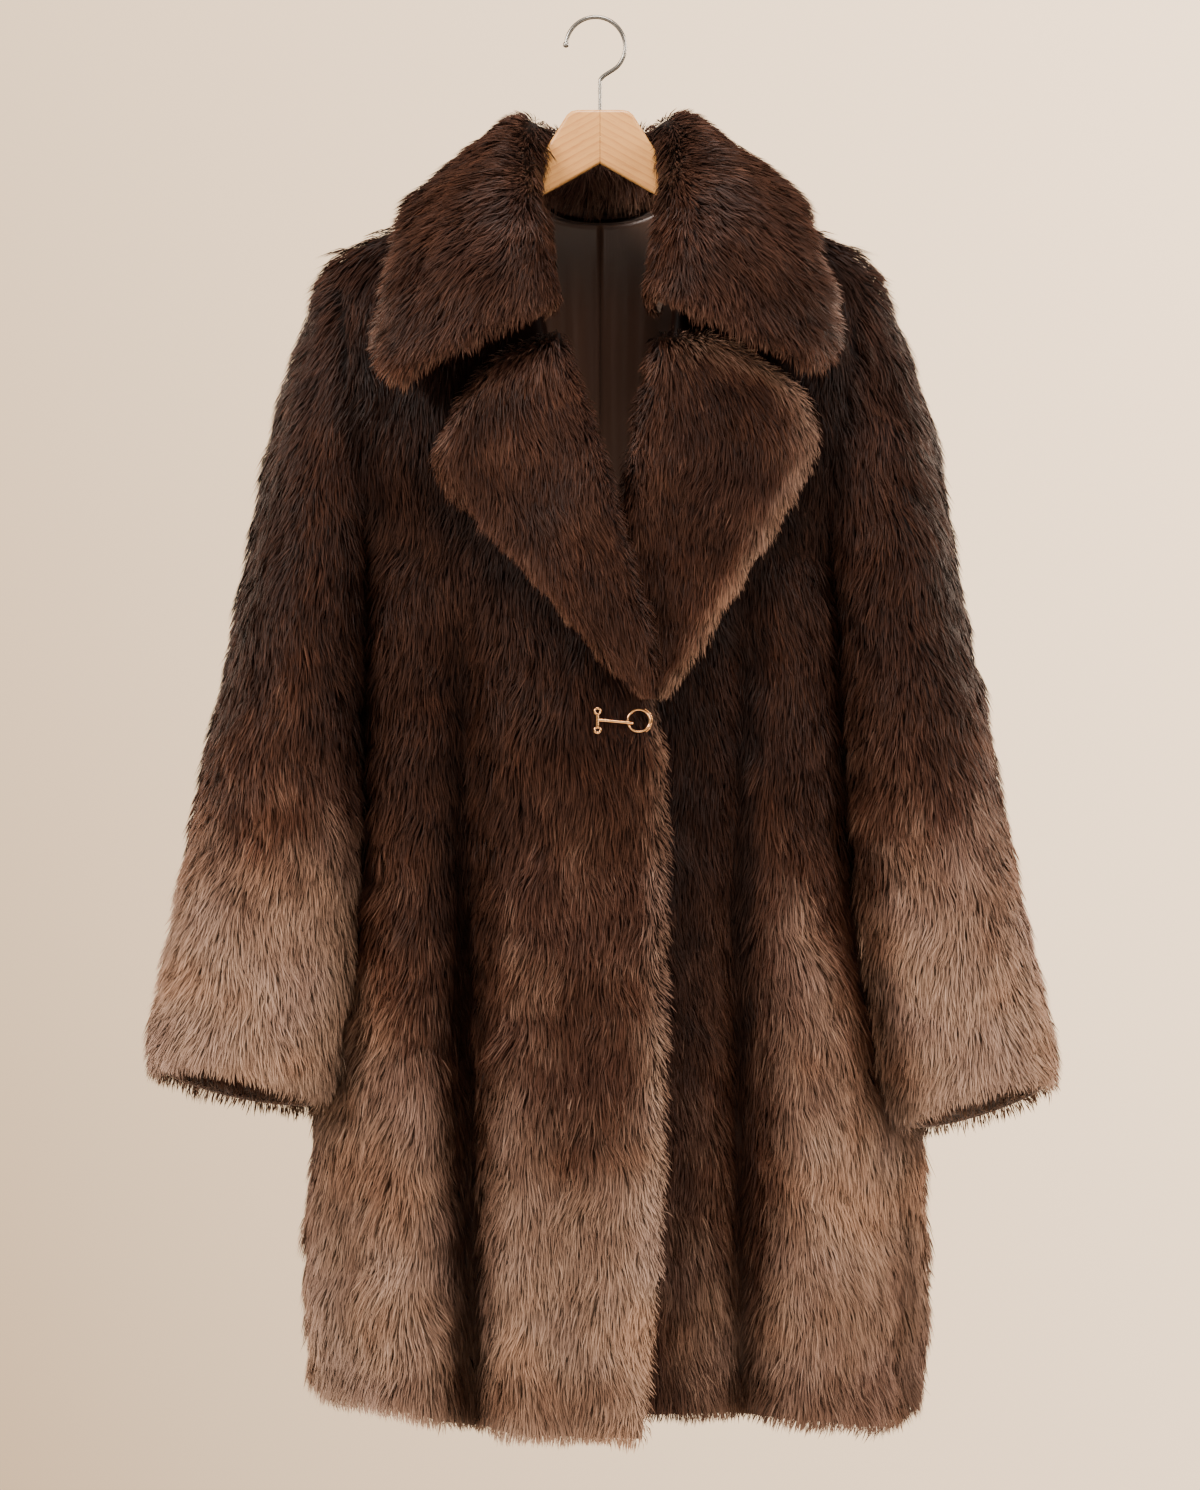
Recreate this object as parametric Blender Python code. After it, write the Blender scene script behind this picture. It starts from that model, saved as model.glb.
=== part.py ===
"""Long faux fur coat with a wide notched collar, hung on a flat wooden hanger.

Metres, +Z up.  The coat faces -Y and +X is the wearer's left.  The origin is the
inside of the hook above its shaft, where a rail carries the hanger.

Every cloth piece is a flat slab, cut as a grid over (across, down, depth), that is
then bent to its place.  Depth counts from the fur side inwards, so pieces that lie
on each other read the same body surface at different depths and never touch.
"""

import math
from functools import partial

import bmesh
import bpy
import numpy as np

# --- Driving sizes -----------------------------------------------------------
GAP = 0.0003  # between pieces at a seam
LAY_GAP = 0.0012  # under what lies on a panel with other folds of its own
WALL = 0.008  # fur cloth: knitted backing with its pile pressed flat
COLLAR_WALL = 0.010
LAPEL_WALL = 0.012  # facing and front edge turned back together
LINING_WALL = 0.001
LINING_GAP = 0.0008
BACK_COLUMNS = 24
BACK_ROWS = 20
LINING_SWING_FROM, LINING_SWING_TO = -0.28, -0.60  # the lining hangs clear of the back's folds
LINING_SWING = 0.044
LINING_LOOSE = 0.0010  # it hangs this much further in beside the neck
LINING_COLUMNS = 6  # on each half: every second column of the back
LINING_ROWS = 19  # the back's own rows, but for the last

ARM_X = 0.190  # where the shoulder seam ends
NECK_X = ARM_X / 3  # where it starts, on a column of the back's grid and its lining's
SHOULDER_TOP = -0.0905  # height that the shoulder lines run up to
SHOULDER_SLOPE = 0.454
SHOULDER_ROUND = 0.030
SHOULDER_REACH = 0.200  # drop over which the cloth swings out to its full depth
BACK_NECK_DIP = 0.0400
FLATNESS = 0.8  # 1 is an ellipse in plan, less is flatter front and back
TOP_BLEND = 0.12
ROW_SPREAD = 1.5  # rows lie closer together towards the shoulder
UNDERARM = -0.410

RIGHT, LEFT = -1.0, 1.0


def table(columns, *rows):
    """Named columns of numbers."""
    return dict(zip(columns.split(), np.array(rows, float).T))


# Plan of the body at each height: where the arm seam or the side seam lies on each
# side, how far the front and the back stand out, where the side seam lies in depth,
# and the plan angle of the armhole edge (90 below the underarm).
BODY = table(
    "height right left front back seam corner",
    (-0.165, 0.190, 0.190, 0.080, 0.072, 0.000, 50),
    (-0.250, 0.187, 0.184, 0.086, 0.076, 0.000, 50),
    (-0.330, 0.178, 0.175, 0.088, 0.078, 0.000, 57),
    (-0.385, 0.175, 0.172, 0.089, 0.079, 0.000, 72),
    (UNDERARM, 0.174, 0.172, 0.089, 0.080, 0.000, 90),
    (-0.560, 0.176, 0.181, 0.091, 0.083, 0.008, 90),
    (-0.650, 0.182, 0.190, 0.093, 0.086, 0.016, 90),
    (-0.710, 0.192, 0.204, 0.094, 0.088, 0.022, 90),
    (-0.770, 0.203, 0.222, 0.096, 0.090, 0.027, 90),
    (-0.830, 0.213, 0.240, 0.098, 0.092, 0.030, 90),
    (-0.950, 0.221, 0.247, 0.100, 0.095, 0.030, 90),
    (-1.070, 0.216, 0.242, 0.098, 0.093, 0.028, 90),
)

# Front edges, measured from the centre line towards each panel's own side.
RIGHT_EDGE = table(
    "height out",
    (-0.122, NECK_X),
    (-0.160, 0.053),
    (-0.200, 0.044),
    (-0.237, 0.040),
    (-0.267, 0.024),
    (-0.320, 0.004),
    (-0.395, -0.014),
    (-0.470, -0.033),
    (-0.515, -0.041),
    (-0.575, -0.046),
    (-0.850, -0.046),
    (-0.930, -0.043),
    (-1.000, -0.036),
    (-1.070, -0.031),
)
LEFT_EDGE = table(
    "height out",
    (-0.122, NECK_X),
    (-0.160, 0.056),
    (-0.200, 0.054),
    (-0.237, 0.053),
    (-0.260, 0.043),
    (-0.305, 0.031),
    (-0.380, 0.019),
    (-0.455, 0.014),
    (-0.530, 0.005),
    (-0.600, -0.015),
    (-0.700, -0.025),
    (-1.070, -0.025),
)

# Hem heights across each panel, 0 at the front edge (or one side) and 1 at the side.
RIGHT_HEM = table("across low", (0, -1.065), (0.35, -1.061), (0.55, -1.046), (0.85, -1.040), (1, -1.028))
LEFT_HEM = table("across low", (0, -1.046), (0.35, -1.050), (0.75, -1.060), (0.92, -1.050), (1, -1.032))
BACK_HEM = table("across low", (0, -1.028), (0.2, -1.048), (0.5, -1.052), (0.8, -1.050), (1, -1.032))

# Hanging folds: sideways place where each starts and at the hem, the height where it
# starts, its half width and how far its trough runs in at the hem.
FRONT_FOLDS = table(
    "x_start x_hem start half_width trough",
    (-0.106, -0.097, -0.400, 0.020, 0.046),
    (-0.188, -0.192, -0.780, 0.014, 0.012),
    (-0.030, -0.022, -0.620, 0.030, 0.006),
    (0.074, 0.076, -0.500, 0.030, 0.012),
    (0.111, 0.112, -0.480, 0.021, 0.030),
    (0.228, 0.230, -0.820, 0.012, 0.018),
)
BACK_FOLDS = table(
    "x_start x_hem start half_width trough",
    (-0.150, -0.162, -0.560, 0.016, 0.022),
    (-0.070, -0.085, -0.380, 0.024, 0.034),
    (0.004, 0.012, -0.300, 0.020, 0.024),
    (0.082, 0.104, -0.420, 0.024, 0.036),
    (0.168, 0.186, -0.640, 0.014, 0.018),
)

# How far the right front is lifted where it laps over the left front: over the left
# lapel it clears the lapel too, and below the clasp only the panel.
LAP = table(
    "height lift",
    (-0.200, 0.0),
    (-0.260, 0.0050),
    (-0.330, 0.0150),
    (-0.390, 0.0230),
    (-0.450, 0.0255),
    (-0.530, 0.0250),
    (-0.640, 0.0110),
    (-1.070, 0.0110),
)
LAP_FROM, LAP_TO = -0.105, 0.000

# Lapels: a row for each line from the roll out to the free edge, from notch to break.
RIGHT_LAPEL = table(
    "down roll_x roll_z edge_x edge_z",
    (0.00, -0.030, -0.241, -0.074, -0.259),
    (0.12, -0.022, -0.266, -0.106, -0.301),
    (0.22, -0.012, -0.292, -0.121, -0.333),
    (0.32, -0.001, -0.324, -0.112, -0.357),
    (0.45, 0.010, -0.365, -0.080, -0.384),
    (0.60, 0.021, -0.410, -0.048, -0.421),
    (0.75, 0.033, -0.455, -0.014, -0.460),
    (0.90, 0.040, -0.492, 0.016, -0.494),
    (1.00, 0.043, -0.512, 0.032, -0.512),
)
LEFT_LAPEL = table(
    "down roll_x roll_z edge_x edge_z",
    (0.00, 0.043, -0.243, 0.080, -0.244),
    (0.10, 0.039, -0.262, 0.122, -0.266),
    (0.20, 0.033, -0.284, 0.154, -0.294),
    (0.29, 0.028, -0.307, 0.161, -0.317),
    (0.42, 0.021, -0.342, 0.146, -0.353),
    (0.55, 0.016, -0.380, 0.124, -0.393),
    (0.68, 0.013, -0.417, 0.097, -0.432),
    (0.80, 0.011, -0.452, 0.077, -0.466),
    (0.92, 0.011, -0.486, 0.058, -0.497),
    (1.00, 0.014, -0.510, 0.046, -0.512),
)

# Underside of the collar: a row for each rib from the centre back (0) round to the front
# end (1). A rib is a curve from the neck seam, pulled up by two control places, to the edge.
RIGHT_COLLAR = table(
    "along neck_x neck_y neck_z up_x up_y up_z out_x out_y out_z edge_x edge_y edge_z",
    (0.00, 0.000, 0.040, -0.1420, 0.000, 0.040, -0.066, 0.000, 0.104, -0.080, 0.000, 0.100, -0.222),
    (0.28, -0.044, 0.031, -0.1330, -0.036, 0.034, -0.052, -0.060, 0.094, -0.068, -0.088, 0.092, -0.216),
    (0.50, -0.066, 0.000, -0.1190, -0.048, 0.002, -0.080, -0.092, 0.010, -0.102, -0.141, 0.012, -0.1505),
    (0.68, -0.059, -0.036, -0.1420, -0.032, -0.058, -0.112, -0.096, -0.088, -0.130, -0.154, -0.072, -0.208),
    (0.84, -0.046, -0.066, -0.1860, -0.018, -0.108, -0.158, -0.090, -0.130, -0.186, -0.163, -0.088, -0.254),
    (1.00, -0.036, -0.088, -0.2270, -0.018, -0.125, -0.212, -0.085, -0.134, -0.236, -0.148, -0.104, -0.276),
)
LEFT_COLLAR_WIDER = 1.07
LEFT_COLLAR_RAISED = 0.009

# Sleeves: a row for each ring, with its outer and inner ends as seen from the front,
# its half depth and how far its middle lies forward.
RIGHT_SLEEVE = table(
    "down out_x out_z in_x in_z half_depth forward",
    (0.00, -0.190, -0.1731, -0.174, -0.410, 0.060, 0.000),
    (0.05, -0.204, -0.190, -0.177, -0.418, 0.061, 0.000),
    (0.11, -0.217, -0.224, -0.178, -0.436, 0.063, 0.001),
    (0.19, -0.231, -0.268, -0.179, -0.458, 0.065, 0.003),
    (0.30, -0.248, -0.336, -0.181, -0.496, 0.067, 0.006),
    (0.43, -0.265, -0.421, -0.183, -0.548, 0.067, 0.011),
    (0.56, -0.282, -0.504, -0.185, -0.605, 0.066, 0.017),
    (0.67, -0.298, -0.575, -0.187, -0.650, 0.064, 0.023),
    (0.78, -0.313, -0.646, -0.191, -0.699, 0.062, 0.029),
    (0.88, -0.326, -0.714, -0.197, -0.751, 0.060, 0.034),
    (0.96, -0.335, -0.765, -0.202, -0.790, 0.058, 0.038),
    (1.00, -0.338, -0.790, -0.207, -0.818, 0.057, 0.040),
)
LEFT_SLEEVE = table(
    "down out_x out_z in_x in_z half_depth forward",
    (0.00, 0.190, -0.1731, 0.172, -0.410, 0.060, 0.000),
    (0.05, 0.204, -0.192, 0.175, -0.418, 0.061, 0.000),
    (0.11, 0.218, -0.222, 0.177, -0.436, 0.063, 0.001),
    (0.19, 0.233, -0.263, 0.179, -0.458, 0.065, 0.003),
    (0.30, 0.250, -0.321, 0.183, -0.500, 0.067, 0.006),
    (0.43, 0.263, -0.399, 0.187, -0.548, 0.067, 0.011),
    (0.56, 0.278, -0.477, 0.191, -0.601, 0.066, 0.017),
    (0.67, 0.293, -0.552, 0.196, -0.650, 0.064, 0.023),
    (0.78, 0.308, -0.631, 0.203, -0.699, 0.062, 0.030),
    (0.88, 0.323, -0.702, 0.211, -0.754, 0.060, 0.036),
    (0.96, 0.336, -0.762, 0.219, -0.803, 0.058, 0.041),
    (1.00, 0.344, -0.800, 0.223, -0.836, 0.057, 0.043),
)
CUFF_SLANT = 0.012  # the front of each cuff ends this much above its middle, the back below
CUFF_SLANT_FROM = 0.75
SLEEVE_GAP = 0.0009

# Hanger
ARM_THICK = 0.012
ARM_BEVEL = 0.0035
ARM_PLAY = 0.0046  # under the shoulder lining
ARM_TOP_FROM, ARM_TOP_TO = 0.072, 0.164  # the stretch that carries the shoulders
ARM_HUMP = table(
    "out height",
    (0.0000, -0.0686),
    (0.0170, -0.0686),
    (0.0215, -0.0696),
    (0.0250, -0.0725),
    (0.0440, -0.1030),
    (0.0500, -0.1180),
    (0.0530, -0.1386),
)
ARM_TIP_AND_UNDERSIDE = table(
    "out height",
    (0.1710, -0.1850),
    (0.1730, -0.1910),
    (0.1700, -0.1950),
    (0.1640, -0.1940),
    (0.0800, -0.1600),
    (0.0530, -0.1500),
    (0.0428, -0.1331),
    (0.0000, -0.1091),
)
HOOK_WIRE = 0.0016
HOOK_RADIUS = 0.0224  # to the middle of the wire
HOOK_CENTRE_X = -0.0034
HOOK_BEND = -0.0472
HOOK_END = -0.0880
HOOK_TIP_ANGLE = 176
HOOK_LEAVE_ANGLE = -38
HOOK_BALL = 0.0024

# Clasp
CLASP_Z = -0.5305
CLASP_SINK = 0.0006  # the fur's flat facets lie this much and the seam gap behind its true curve
BAR_X = -0.0018
BAR_HALF = 0.0085
BAR_WIRE = 0.0014
EYELET_Z = 0.0062
EYELET_RADIUS = 0.0021
EYELET_WIRE = 0.0009
ROD_END_X = 0.0240
ROD_WIRE = 0.0011
RING_X = 0.0288
RING_RADIUS = 0.0084
RING_WIRE = 0.0009
KEEPER_WIRE = 0.0007
KEEPER_FROM, KEEPER_TO = -58, 62  # degrees of the ring that it hugs

MATERIALS = {
    "fur": ((0.060, 0.030, 0.020), 0.85, 0.0),
    "fur_collar": ((0.045, 0.024, 0.017), 0.85, 0.0),
    "satin": ((0.090, 0.075, 0.065), 0.35, 0.0),
    "beech": ((0.680, 0.450, 0.250), 0.45, 0.0),
    "nickel": ((0.560, 0.520, 0.480), 0.30, 1.0),
    "rose_gold": ((0.780, 0.500, 0.330), 0.25, 1.0),
}


# --- Curves ------------------------------------------------------------------
def smooth(rows, first, column, at):
    """Read a column at places of the first one, on a smooth curve with no overshoot."""
    order = np.argsort(rows[first])
    places = rows[first][order]
    values = rows[column][order]
    step = np.diff(places)
    slope = np.diff(values) / step
    turn = np.concatenate([slope[:1], np.zeros(len(step) - 1), slope[-1:]])
    product = slope[:-1] * slope[1:]
    total = slope[:-1] + slope[1:]
    same_way = product > 0
    turn[1:-1][same_way] = 2 * product[same_way] / total[same_way]
    at = np.clip(at, places[0], places[-1])
    spot = np.clip(np.searchsorted(places, at, side="right") - 1, 0, len(step) - 1)
    part = (at - places[spot]) / step[spot]
    rise = values[spot + 1] - values[spot]
    near = step[spot] * turn[spot]
    far = step[spot] * turn[spot + 1]
    return values[spot] + part * (near + part * (3 * rise - 2 * near - far + part * (near + far - 2 * rise)))


def ease(part):
    """0 to 1 with soft ends."""
    part = np.clip(part, 0, 1)
    return part * part * (3 - 2 * part)


def mix(first, second, share):
    return first + (second - first) * share


# --- The body's surface ------------------------------------------------------
def shoulder(x):
    """Height of the shoulder line."""
    return SHOULDER_TOP - SHOULDER_SLOPE * np.sqrt(x * x + SHOULDER_ROUND**2)


def fold_depth(folds, x, z):
    """How far the hanging folds run into the cloth."""
    depth = np.zeros(np.shape(x))
    for x_start, x_hem, start, half_width, trough in zip(*folds.values()):
        grown = np.clip((start - z) / (start - BODY["height"][-1]), 0, 1)
        middle = mix(x_start, x_hem, grown)
        depth = depth + trough * ease(1.4 * grown) * np.exp(-(((x - middle) / half_width) ** 2))
    return depth


def half_plan(side, z, depth):
    """Half width of the body's plan, as if it had no armholes."""
    corner = np.radians(smooth(BODY, "height", "corner", z))
    column = "left" if side > 0 else "right"
    return smooth(BODY, "height", column, z) / np.sin(corner) - depth, corner


def body(facing, side, x, z, depth, folded=1):
    """The body's surface at a place seen from the front. Facing is -1 in front, 1 behind."""
    half, _ = half_plan(side, z, depth)
    sine = np.clip(side * x / half, -1, 1)
    x_outer = side * sine * (half + depth)
    level = np.sqrt(1 - sine * sine) ** FLATNESS
    drop = np.clip((shoulder(x) - depth - z) / SHOULDER_REACH, 0, 1)
    swing = np.sqrt(np.sin(drop * math.pi / 2))
    seam = smooth(BODY, "height", "seam", z)
    if facing < 0:
        reach = smooth(BODY, "height", "front", z) - depth + seam
        trough = fold_depth(FRONT_FOLDS, x_outer, z)
    else:
        reach = smooth(BODY, "height", "back", z) - depth - seam
        trough = fold_depth(BACK_FOLDS, x_outer, z) * folded
    return seam + facing * (reach * level * swing - trough * level + GAP / 2)


def lap(x, z):
    """How far the right front lies above the body's surface."""
    return smooth(LAP, "height", "lift", z) * ease((x - LAP_FROM) / (LAP_TO - LAP_FROM))


def panel(side, edge, hem, facing, across, down, depth):
    """A place on a front or on half of the back: across 0 at its edge and 1 at its side."""
    down = down**ROW_SPREAD
    x_top = mix(NECK_X if facing < 0 else 0.0, ARM_X, across)
    dip = 0.0
    if facing > 0:
        dip = BACK_NECK_DIP * np.clip(1 - (x_top / NECK_X) ** 2, 0, 1)
    z_top = shoulder(x_top) - dip
    z = mix(z_top, hem, down)
    half, corner = half_plan(side, z, depth)
    start = np.arcsin(np.clip(edge(z) / half, -1, 1))
    x_round = half * np.sin(mix(start, corner, across))
    x = side * mix(x_top, x_round, ease(down / TOP_BLEND))
    return x, z, depth * (1 - ease(down / TOP_BLEND))


def front(side, across, down, depth):
    """A place on one front."""
    rows = LEFT_EDGE if side > 0 else RIGHT_EDGE
    hem = smooth(LEFT_HEM if side > 0 else RIGHT_HEM, "across", "low", across)
    x, z, sink = panel(side, lambda height: smooth(rows, "height", "out", height), hem, -1, across, down, depth)
    inwards = depth - lap(x, z) if side < 0 else depth
    return np.stack([x, body(-1, side, x, z - sink, inwards), z - sink], -1)


def back(across, down, depth, folded=1):
    """A place on the back: across 0 at the right side and 1 at the left."""
    hem = smooth(BACK_HEM, "across", "low", across)
    place = 2 * across - 1
    found = []
    for side in (RIGHT, LEFT):
        x, z, sink = panel(side, lambda height: 0.0 * height, hem, 1, np.abs(place), down, depth)
        found.append(np.stack([x, body(1, side, x, z - sink, depth, folded), z - sink], -1))
    return np.where((place < 0)[..., None], *found)


# --- Sleeves -----------------------------------------------------------------
def armhole(side, angle):
    """The edge of the armhole, as the sleeve's first ring meets it."""
    rows = LEFT_SLEEVE if side > 0 else RIGHT_SLEEVE
    middle = (rows["out_z"][0] + rows["in_z"][0]) / 2
    z = middle + (rows["out_z"][0] - middle) * np.cos(angle)
    z_top = shoulder(ARM_X)
    hem = LEFT_HEM["low"][-1] if side > 0 else RIGHT_HEM["low"][-1]
    down = np.clip((z - z_top) / (hem - z_top), 0, 1) ** (1 / ROW_SPREAD)
    one = np.ones(np.shape(angle))
    forward = front(side, one, down, 0 * one)
    place = (1 + side * one) / 2
    behind = back(place, down, 0 * one)
    return np.where((np.sin(angle) < 0)[..., None], forward, behind)


def sleeve(side, round_, down, depth):
    """A place on a sleeve: round 0 and 1 at its outer side, 0.25 behind and 0.75 in front."""
    rows = LEFT_SLEEVE if side > 0 else RIGHT_SLEEVE
    angle = 2 * math.pi * (round_ % 1)

    def ring(at, inwards):
        out = np.stack([smooth(rows, "down", "out_x", at), smooth(rows, "down", "out_z", at)], -1)
        inner = np.stack([smooth(rows, "down", "in_x", at), smooth(rows, "down", "in_z", at)], -1)
        middle = (out + inner) / 2
        arm = (out - inner) / 2
        length = np.linalg.norm(arm, axis=-1)
        scale = (length - inwards) / length * np.cos(angle)
        half_depth = smooth(rows, "down", "half_depth", at) - inwards
        y = half_depth * np.sin(angle) - smooth(rows, "down", "forward", at)
        slant = CUFF_SLANT * ease((at - CUFF_SLANT_FROM) / (1 - CUFF_SLANT_FROM)) * np.sin(angle)
        x = middle[..., 0] + arm[..., 0] * scale
        return np.stack([x, y, middle[..., 1] + arm[..., 1] * scale - slant], -1)

    edge = armhole(side, angle)
    first = ring(0 * down, 0 * depth)
    place = ring(down, depth) + (edge - first) * (1 - ease(down / 0.3))[..., None]
    place[..., 0] += side * SLEEVE_GAP
    return place


# --- Collar, lapels and lining -------------------------------------------------
def collar_rib_curve(across, neck, up, out, edge):
    """A Bezier curve through the rib's control places."""
    rest = 1 - across
    return rest**3 * neck + 3 * rest**2 * across * up + 3 * rest * across**2 * out + across**3 * edge


def collar_underside(along, across):
    """The side of the collar that lies on the body: along -1 at the right front end and 1 at the left."""
    turn = np.abs(along)
    wider = np.where(along > 0, mix(1, LEFT_COLLAR_WIDER, ease(turn)), 1)
    raised = np.where(along > 0, LEFT_COLLAR_RAISED * ease(turn), 0) * ease(3 * across)
    place = []
    for axis in "xyz":
        ends = [smooth(RIGHT_COLLAR, "along", f"{name}_{axis}", turn) for name in ("neck", "up", "out", "edge")]
        place.append(collar_rib_curve(across, *ends))
    place[0] = -place[0] * np.sign(along) * wider
    place[2] = place[2] + raised
    return np.stack(place, -1)


def collar(across, down, depth):
    """A place on the collar, its fur side a wall's thickness out from its underside."""
    along = 2 * across - 1
    step = 1e-3
    inner = np.clip(down - step, 0, 1)
    outer = np.clip(down + step, 0, 1)
    sideways = collar_underside(along + step, down) - collar_underside(along - step, down)
    outwards = collar_underside(along, outer) - collar_underside(along, inner)
    normal = np.cross(sideways, outwards)
    normal /= np.linalg.norm(normal, axis=-1, keepdims=True)
    return collar_underside(along, down) + normal * (COLLAR_WALL - depth)[..., None]


def lapel(side, across, down, depth):
    """A place on a lapel, which lies on its front: across 0 at the roll and 1 at the free edge."""
    rows = LEFT_LAPEL if side > 0 else RIGHT_LAPEL
    x = mix(smooth(rows, "down", "roll_x", down), smooth(rows, "down", "edge_x", down), across)
    z = mix(smooth(rows, "down", "roll_z", down), smooth(rows, "down", "edge_z", down), across)
    lift = lap(x, z) if side < 0 else 0 * x
    return np.stack([x, body(-1, side, x, z, depth - LAPEL_WALL - LAY_GAP - lift), z], -1)


def lining_outside(side, across, down):
    """The side of half of the back lining that faces the back: clear of the back's folds."""
    inset = WALL + LINING_GAP + LINING_LOOSE * ease(4 * across - 1)
    shape = back((1 + side * across) / 2, down * LINING_ROWS / BACK_ROWS, inset, 0)
    fall = (LINING_SWING_FROM - shape[..., 2]) / (LINING_SWING_FROM - LINING_SWING_TO)
    shape[..., 1] -= LINING_SWING * ease(fall) * (1 - across**4)
    shape[..., 0] += side * GAP / 2 * (1 - across)
    return shape


def lining(side, across, down, depth):
    """A place on half of the back lining: across 0 at the centre seam and 1 at the side."""
    step = 1e-3
    inner, outer = np.clip(across - step, 0, 1), np.clip(across + step, 0, 1)
    above, below = np.clip(down - step, 0, 1), np.clip(down + step, 0, 1)
    sideways = lining_outside(side, outer, down) - lining_outside(side, inner, down)
    downwards = lining_outside(side, across, below) - lining_outside(side, across, above)
    normal = np.cross(downwards, sideways) * side
    normal /= np.linalg.norm(normal, axis=-1, keepdims=True)
    return lining_outside(side, across, down) + normal * depth[..., None]


# --- Making objects ------------------------------------------------------------
def clear_scene():
    for old in list(bpy.data.objects):
        bpy.data.objects.remove(old)


def make_materials():
    made = {}
    for name, (colour, roughness, metallic) in MATERIALS.items():
        material = bpy.data.materials.new(name)
        material.use_nodes = True
        shader = material.node_tree.nodes["Principled BSDF"]
        shader.inputs["Base Color"].default_value = (*colour, 1)
        shader.inputs["Roughness"].default_value = roughness
        shader.inputs["Metallic"].default_value = metallic
        material.diffuse_color = (*colour, 1)
        made[name] = material
    return made


class Maker:
    """Puts finished pieces in the coat's collection, each with a material of its own."""

    def __init__(self):
        self.collection = bpy.data.collections.new("faux_fur_coat_on_hanger")
        self.cutters = bpy.data.collections.new("cutters")
        for collection in (self.collection, self.cutters):
            bpy.context.scene.collection.children.link(collection)
        self.materials = make_materials()

    def add(self, name, mesh_or_curve, finish):
        piece = bpy.data.objects.new(name, mesh_or_curve)
        self.collection.objects.link(piece)
        mesh_or_curve.materials.append(self.materials[finish].copy())
        return piece

    def add_bmesh(self, name, bm, finish):
        mesh = bpy.data.meshes.new(name)
        bm.to_mesh(mesh)
        bm.free()
        mesh.shade_smooth()
        mesh.set_sharp_from_angle(angle=math.radians(50))
        return self.add(name, mesh, finish)

    def slab(self, name, columns, rows, wall, place, finish, tube=False, thin=False):
        """A grid with a wall, bent to its place; a tube joins its first and last columns."""
        bm = bmesh.new()
        bmesh.ops.create_grid(bm, x_segments=columns, y_segments=rows, size=0.5)
        if thin:
            bmesh.ops.triangulate(bm, faces=bm.faces[:], quad_method="FIXED")
        lifted = bmesh.ops.extrude_face_region(bm, geom=bm.faces[:], use_keep_orig=True)
        inner = [item for item in lifted["geom"] if isinstance(item, bmesh.types.BMVert)]
        bmesh.ops.translate(bm, verts=inner, vec=(0, 0, wall))
        if tube:
            ends = [face for face in bm.faces if min(abs(abs(v.co.x) - 0.5) < 1e-6 for v in face.verts)]
            closing = [face for face in ends if len({round(v.co.x) for v in face.verts}) == 1]
            bmesh.ops.delete(bm, geom=closing, context="FACES_ONLY")
        flat = np.array([vertex.co for vertex in bm.verts])
        bent = place(flat[:, 0] + 0.5, 0.5 - flat[:, 1], flat[:, 2])
        for vertex, spot in zip(bm.verts, bent):
            vertex.co = spot
        if tube:
            bmesh.ops.remove_doubles(bm, verts=bm.verts[:], dist=1e-6)
        bmesh.ops.recalc_face_normals(bm, faces=bm.faces[:])
        if bm.calc_volume(signed=True) < 0:
            bmesh.ops.reverse_faces(bm, faces=bm.faces[:])
        return self.add_bmesh(name, bm, finish)

    def wire(self, name, points, radius, finish, ring=False, sides=3):
        """A round wire through its points."""
        curve = bpy.data.curves.new(name, "CURVE")
        curve.dimensions = "3D"
        curve.bevel_depth = radius
        curve.bevel_resolution = sides
        curve.use_fill_caps = not ring
        line = curve.splines.new("POLY")
        line.points.add(len(points) - 1)
        for point, spot in zip(line.points, points):
            point.co = (*spot, 1)
        line.use_cyclic_u = ring
        return self.add(name, curve, finish)

    def joined(self, name, pieces, finish):
        """One mesh from several pieces that reach into each other."""
        bpy.context.view_layer.update()
        graph = bpy.context.evaluated_depsgraph_get()
        solids = []
        for piece in pieces:
            mesh = bpy.data.meshes.new_from_object(piece.evaluated_get(graph))
            bm = bmesh.new()
            bm.from_mesh(mesh)
            bmesh.ops.remove_doubles(bm, verts=bm.verts[:], dist=1e-6)
            bmesh.ops.recalc_face_normals(bm, faces=bm.faces[:])
            bm.to_mesh(mesh)
            bm.free()
            mesh.materials.clear()
            solids.append(mesh)
            bpy.data.objects.remove(piece)
        main = self.add(name, solids[0], finish)
        for number, mesh in enumerate(solids[1:]):
            helper = bpy.data.objects.new(f"{name}_joins_{number}", mesh)
            helper.hide_render = True
            helper.display_type = "WIRE"
            self.cutters.objects.link(helper)
            union = main.modifiers.new(helper.name, "BOOLEAN")
            union.operation = "UNION"
            union.object = helper
        return main


# --- The pieces ----------------------------------------------------------------
def make_body(maker):
    maker.slab("front_right", 14, BACK_ROWS, WALL, lambda a, d, t: front(RIGHT, a, d, t), "fur")
    maker.slab("front_left", 14, BACK_ROWS, WALL, lambda a, d, t: front(LEFT, a, d, t), "fur")
    maker.slab("back", BACK_COLUMNS, BACK_ROWS, WALL, back, "fur")


def make_sleeves(maker):
    for name, side in (("sleeve_right", RIGHT), ("sleeve_left", LEFT)):
        maker.slab(name, 18, 15, WALL, lambda a, d, t, s=side: sleeve(s, a, d, t), "fur", tube=True)


def make_collar_and_lapels(maker):
    maker.slab("collar", 28, 8, COLLAR_WALL, collar, "fur_collar")
    for name, side in (("lapel_right", RIGHT), ("lapel_left", LEFT)):
        maker.slab(name, 6, 12, LAPEL_WALL, lambda a, d, t, s=side: lapel(s, a, d, t), "fur_collar")


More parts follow.
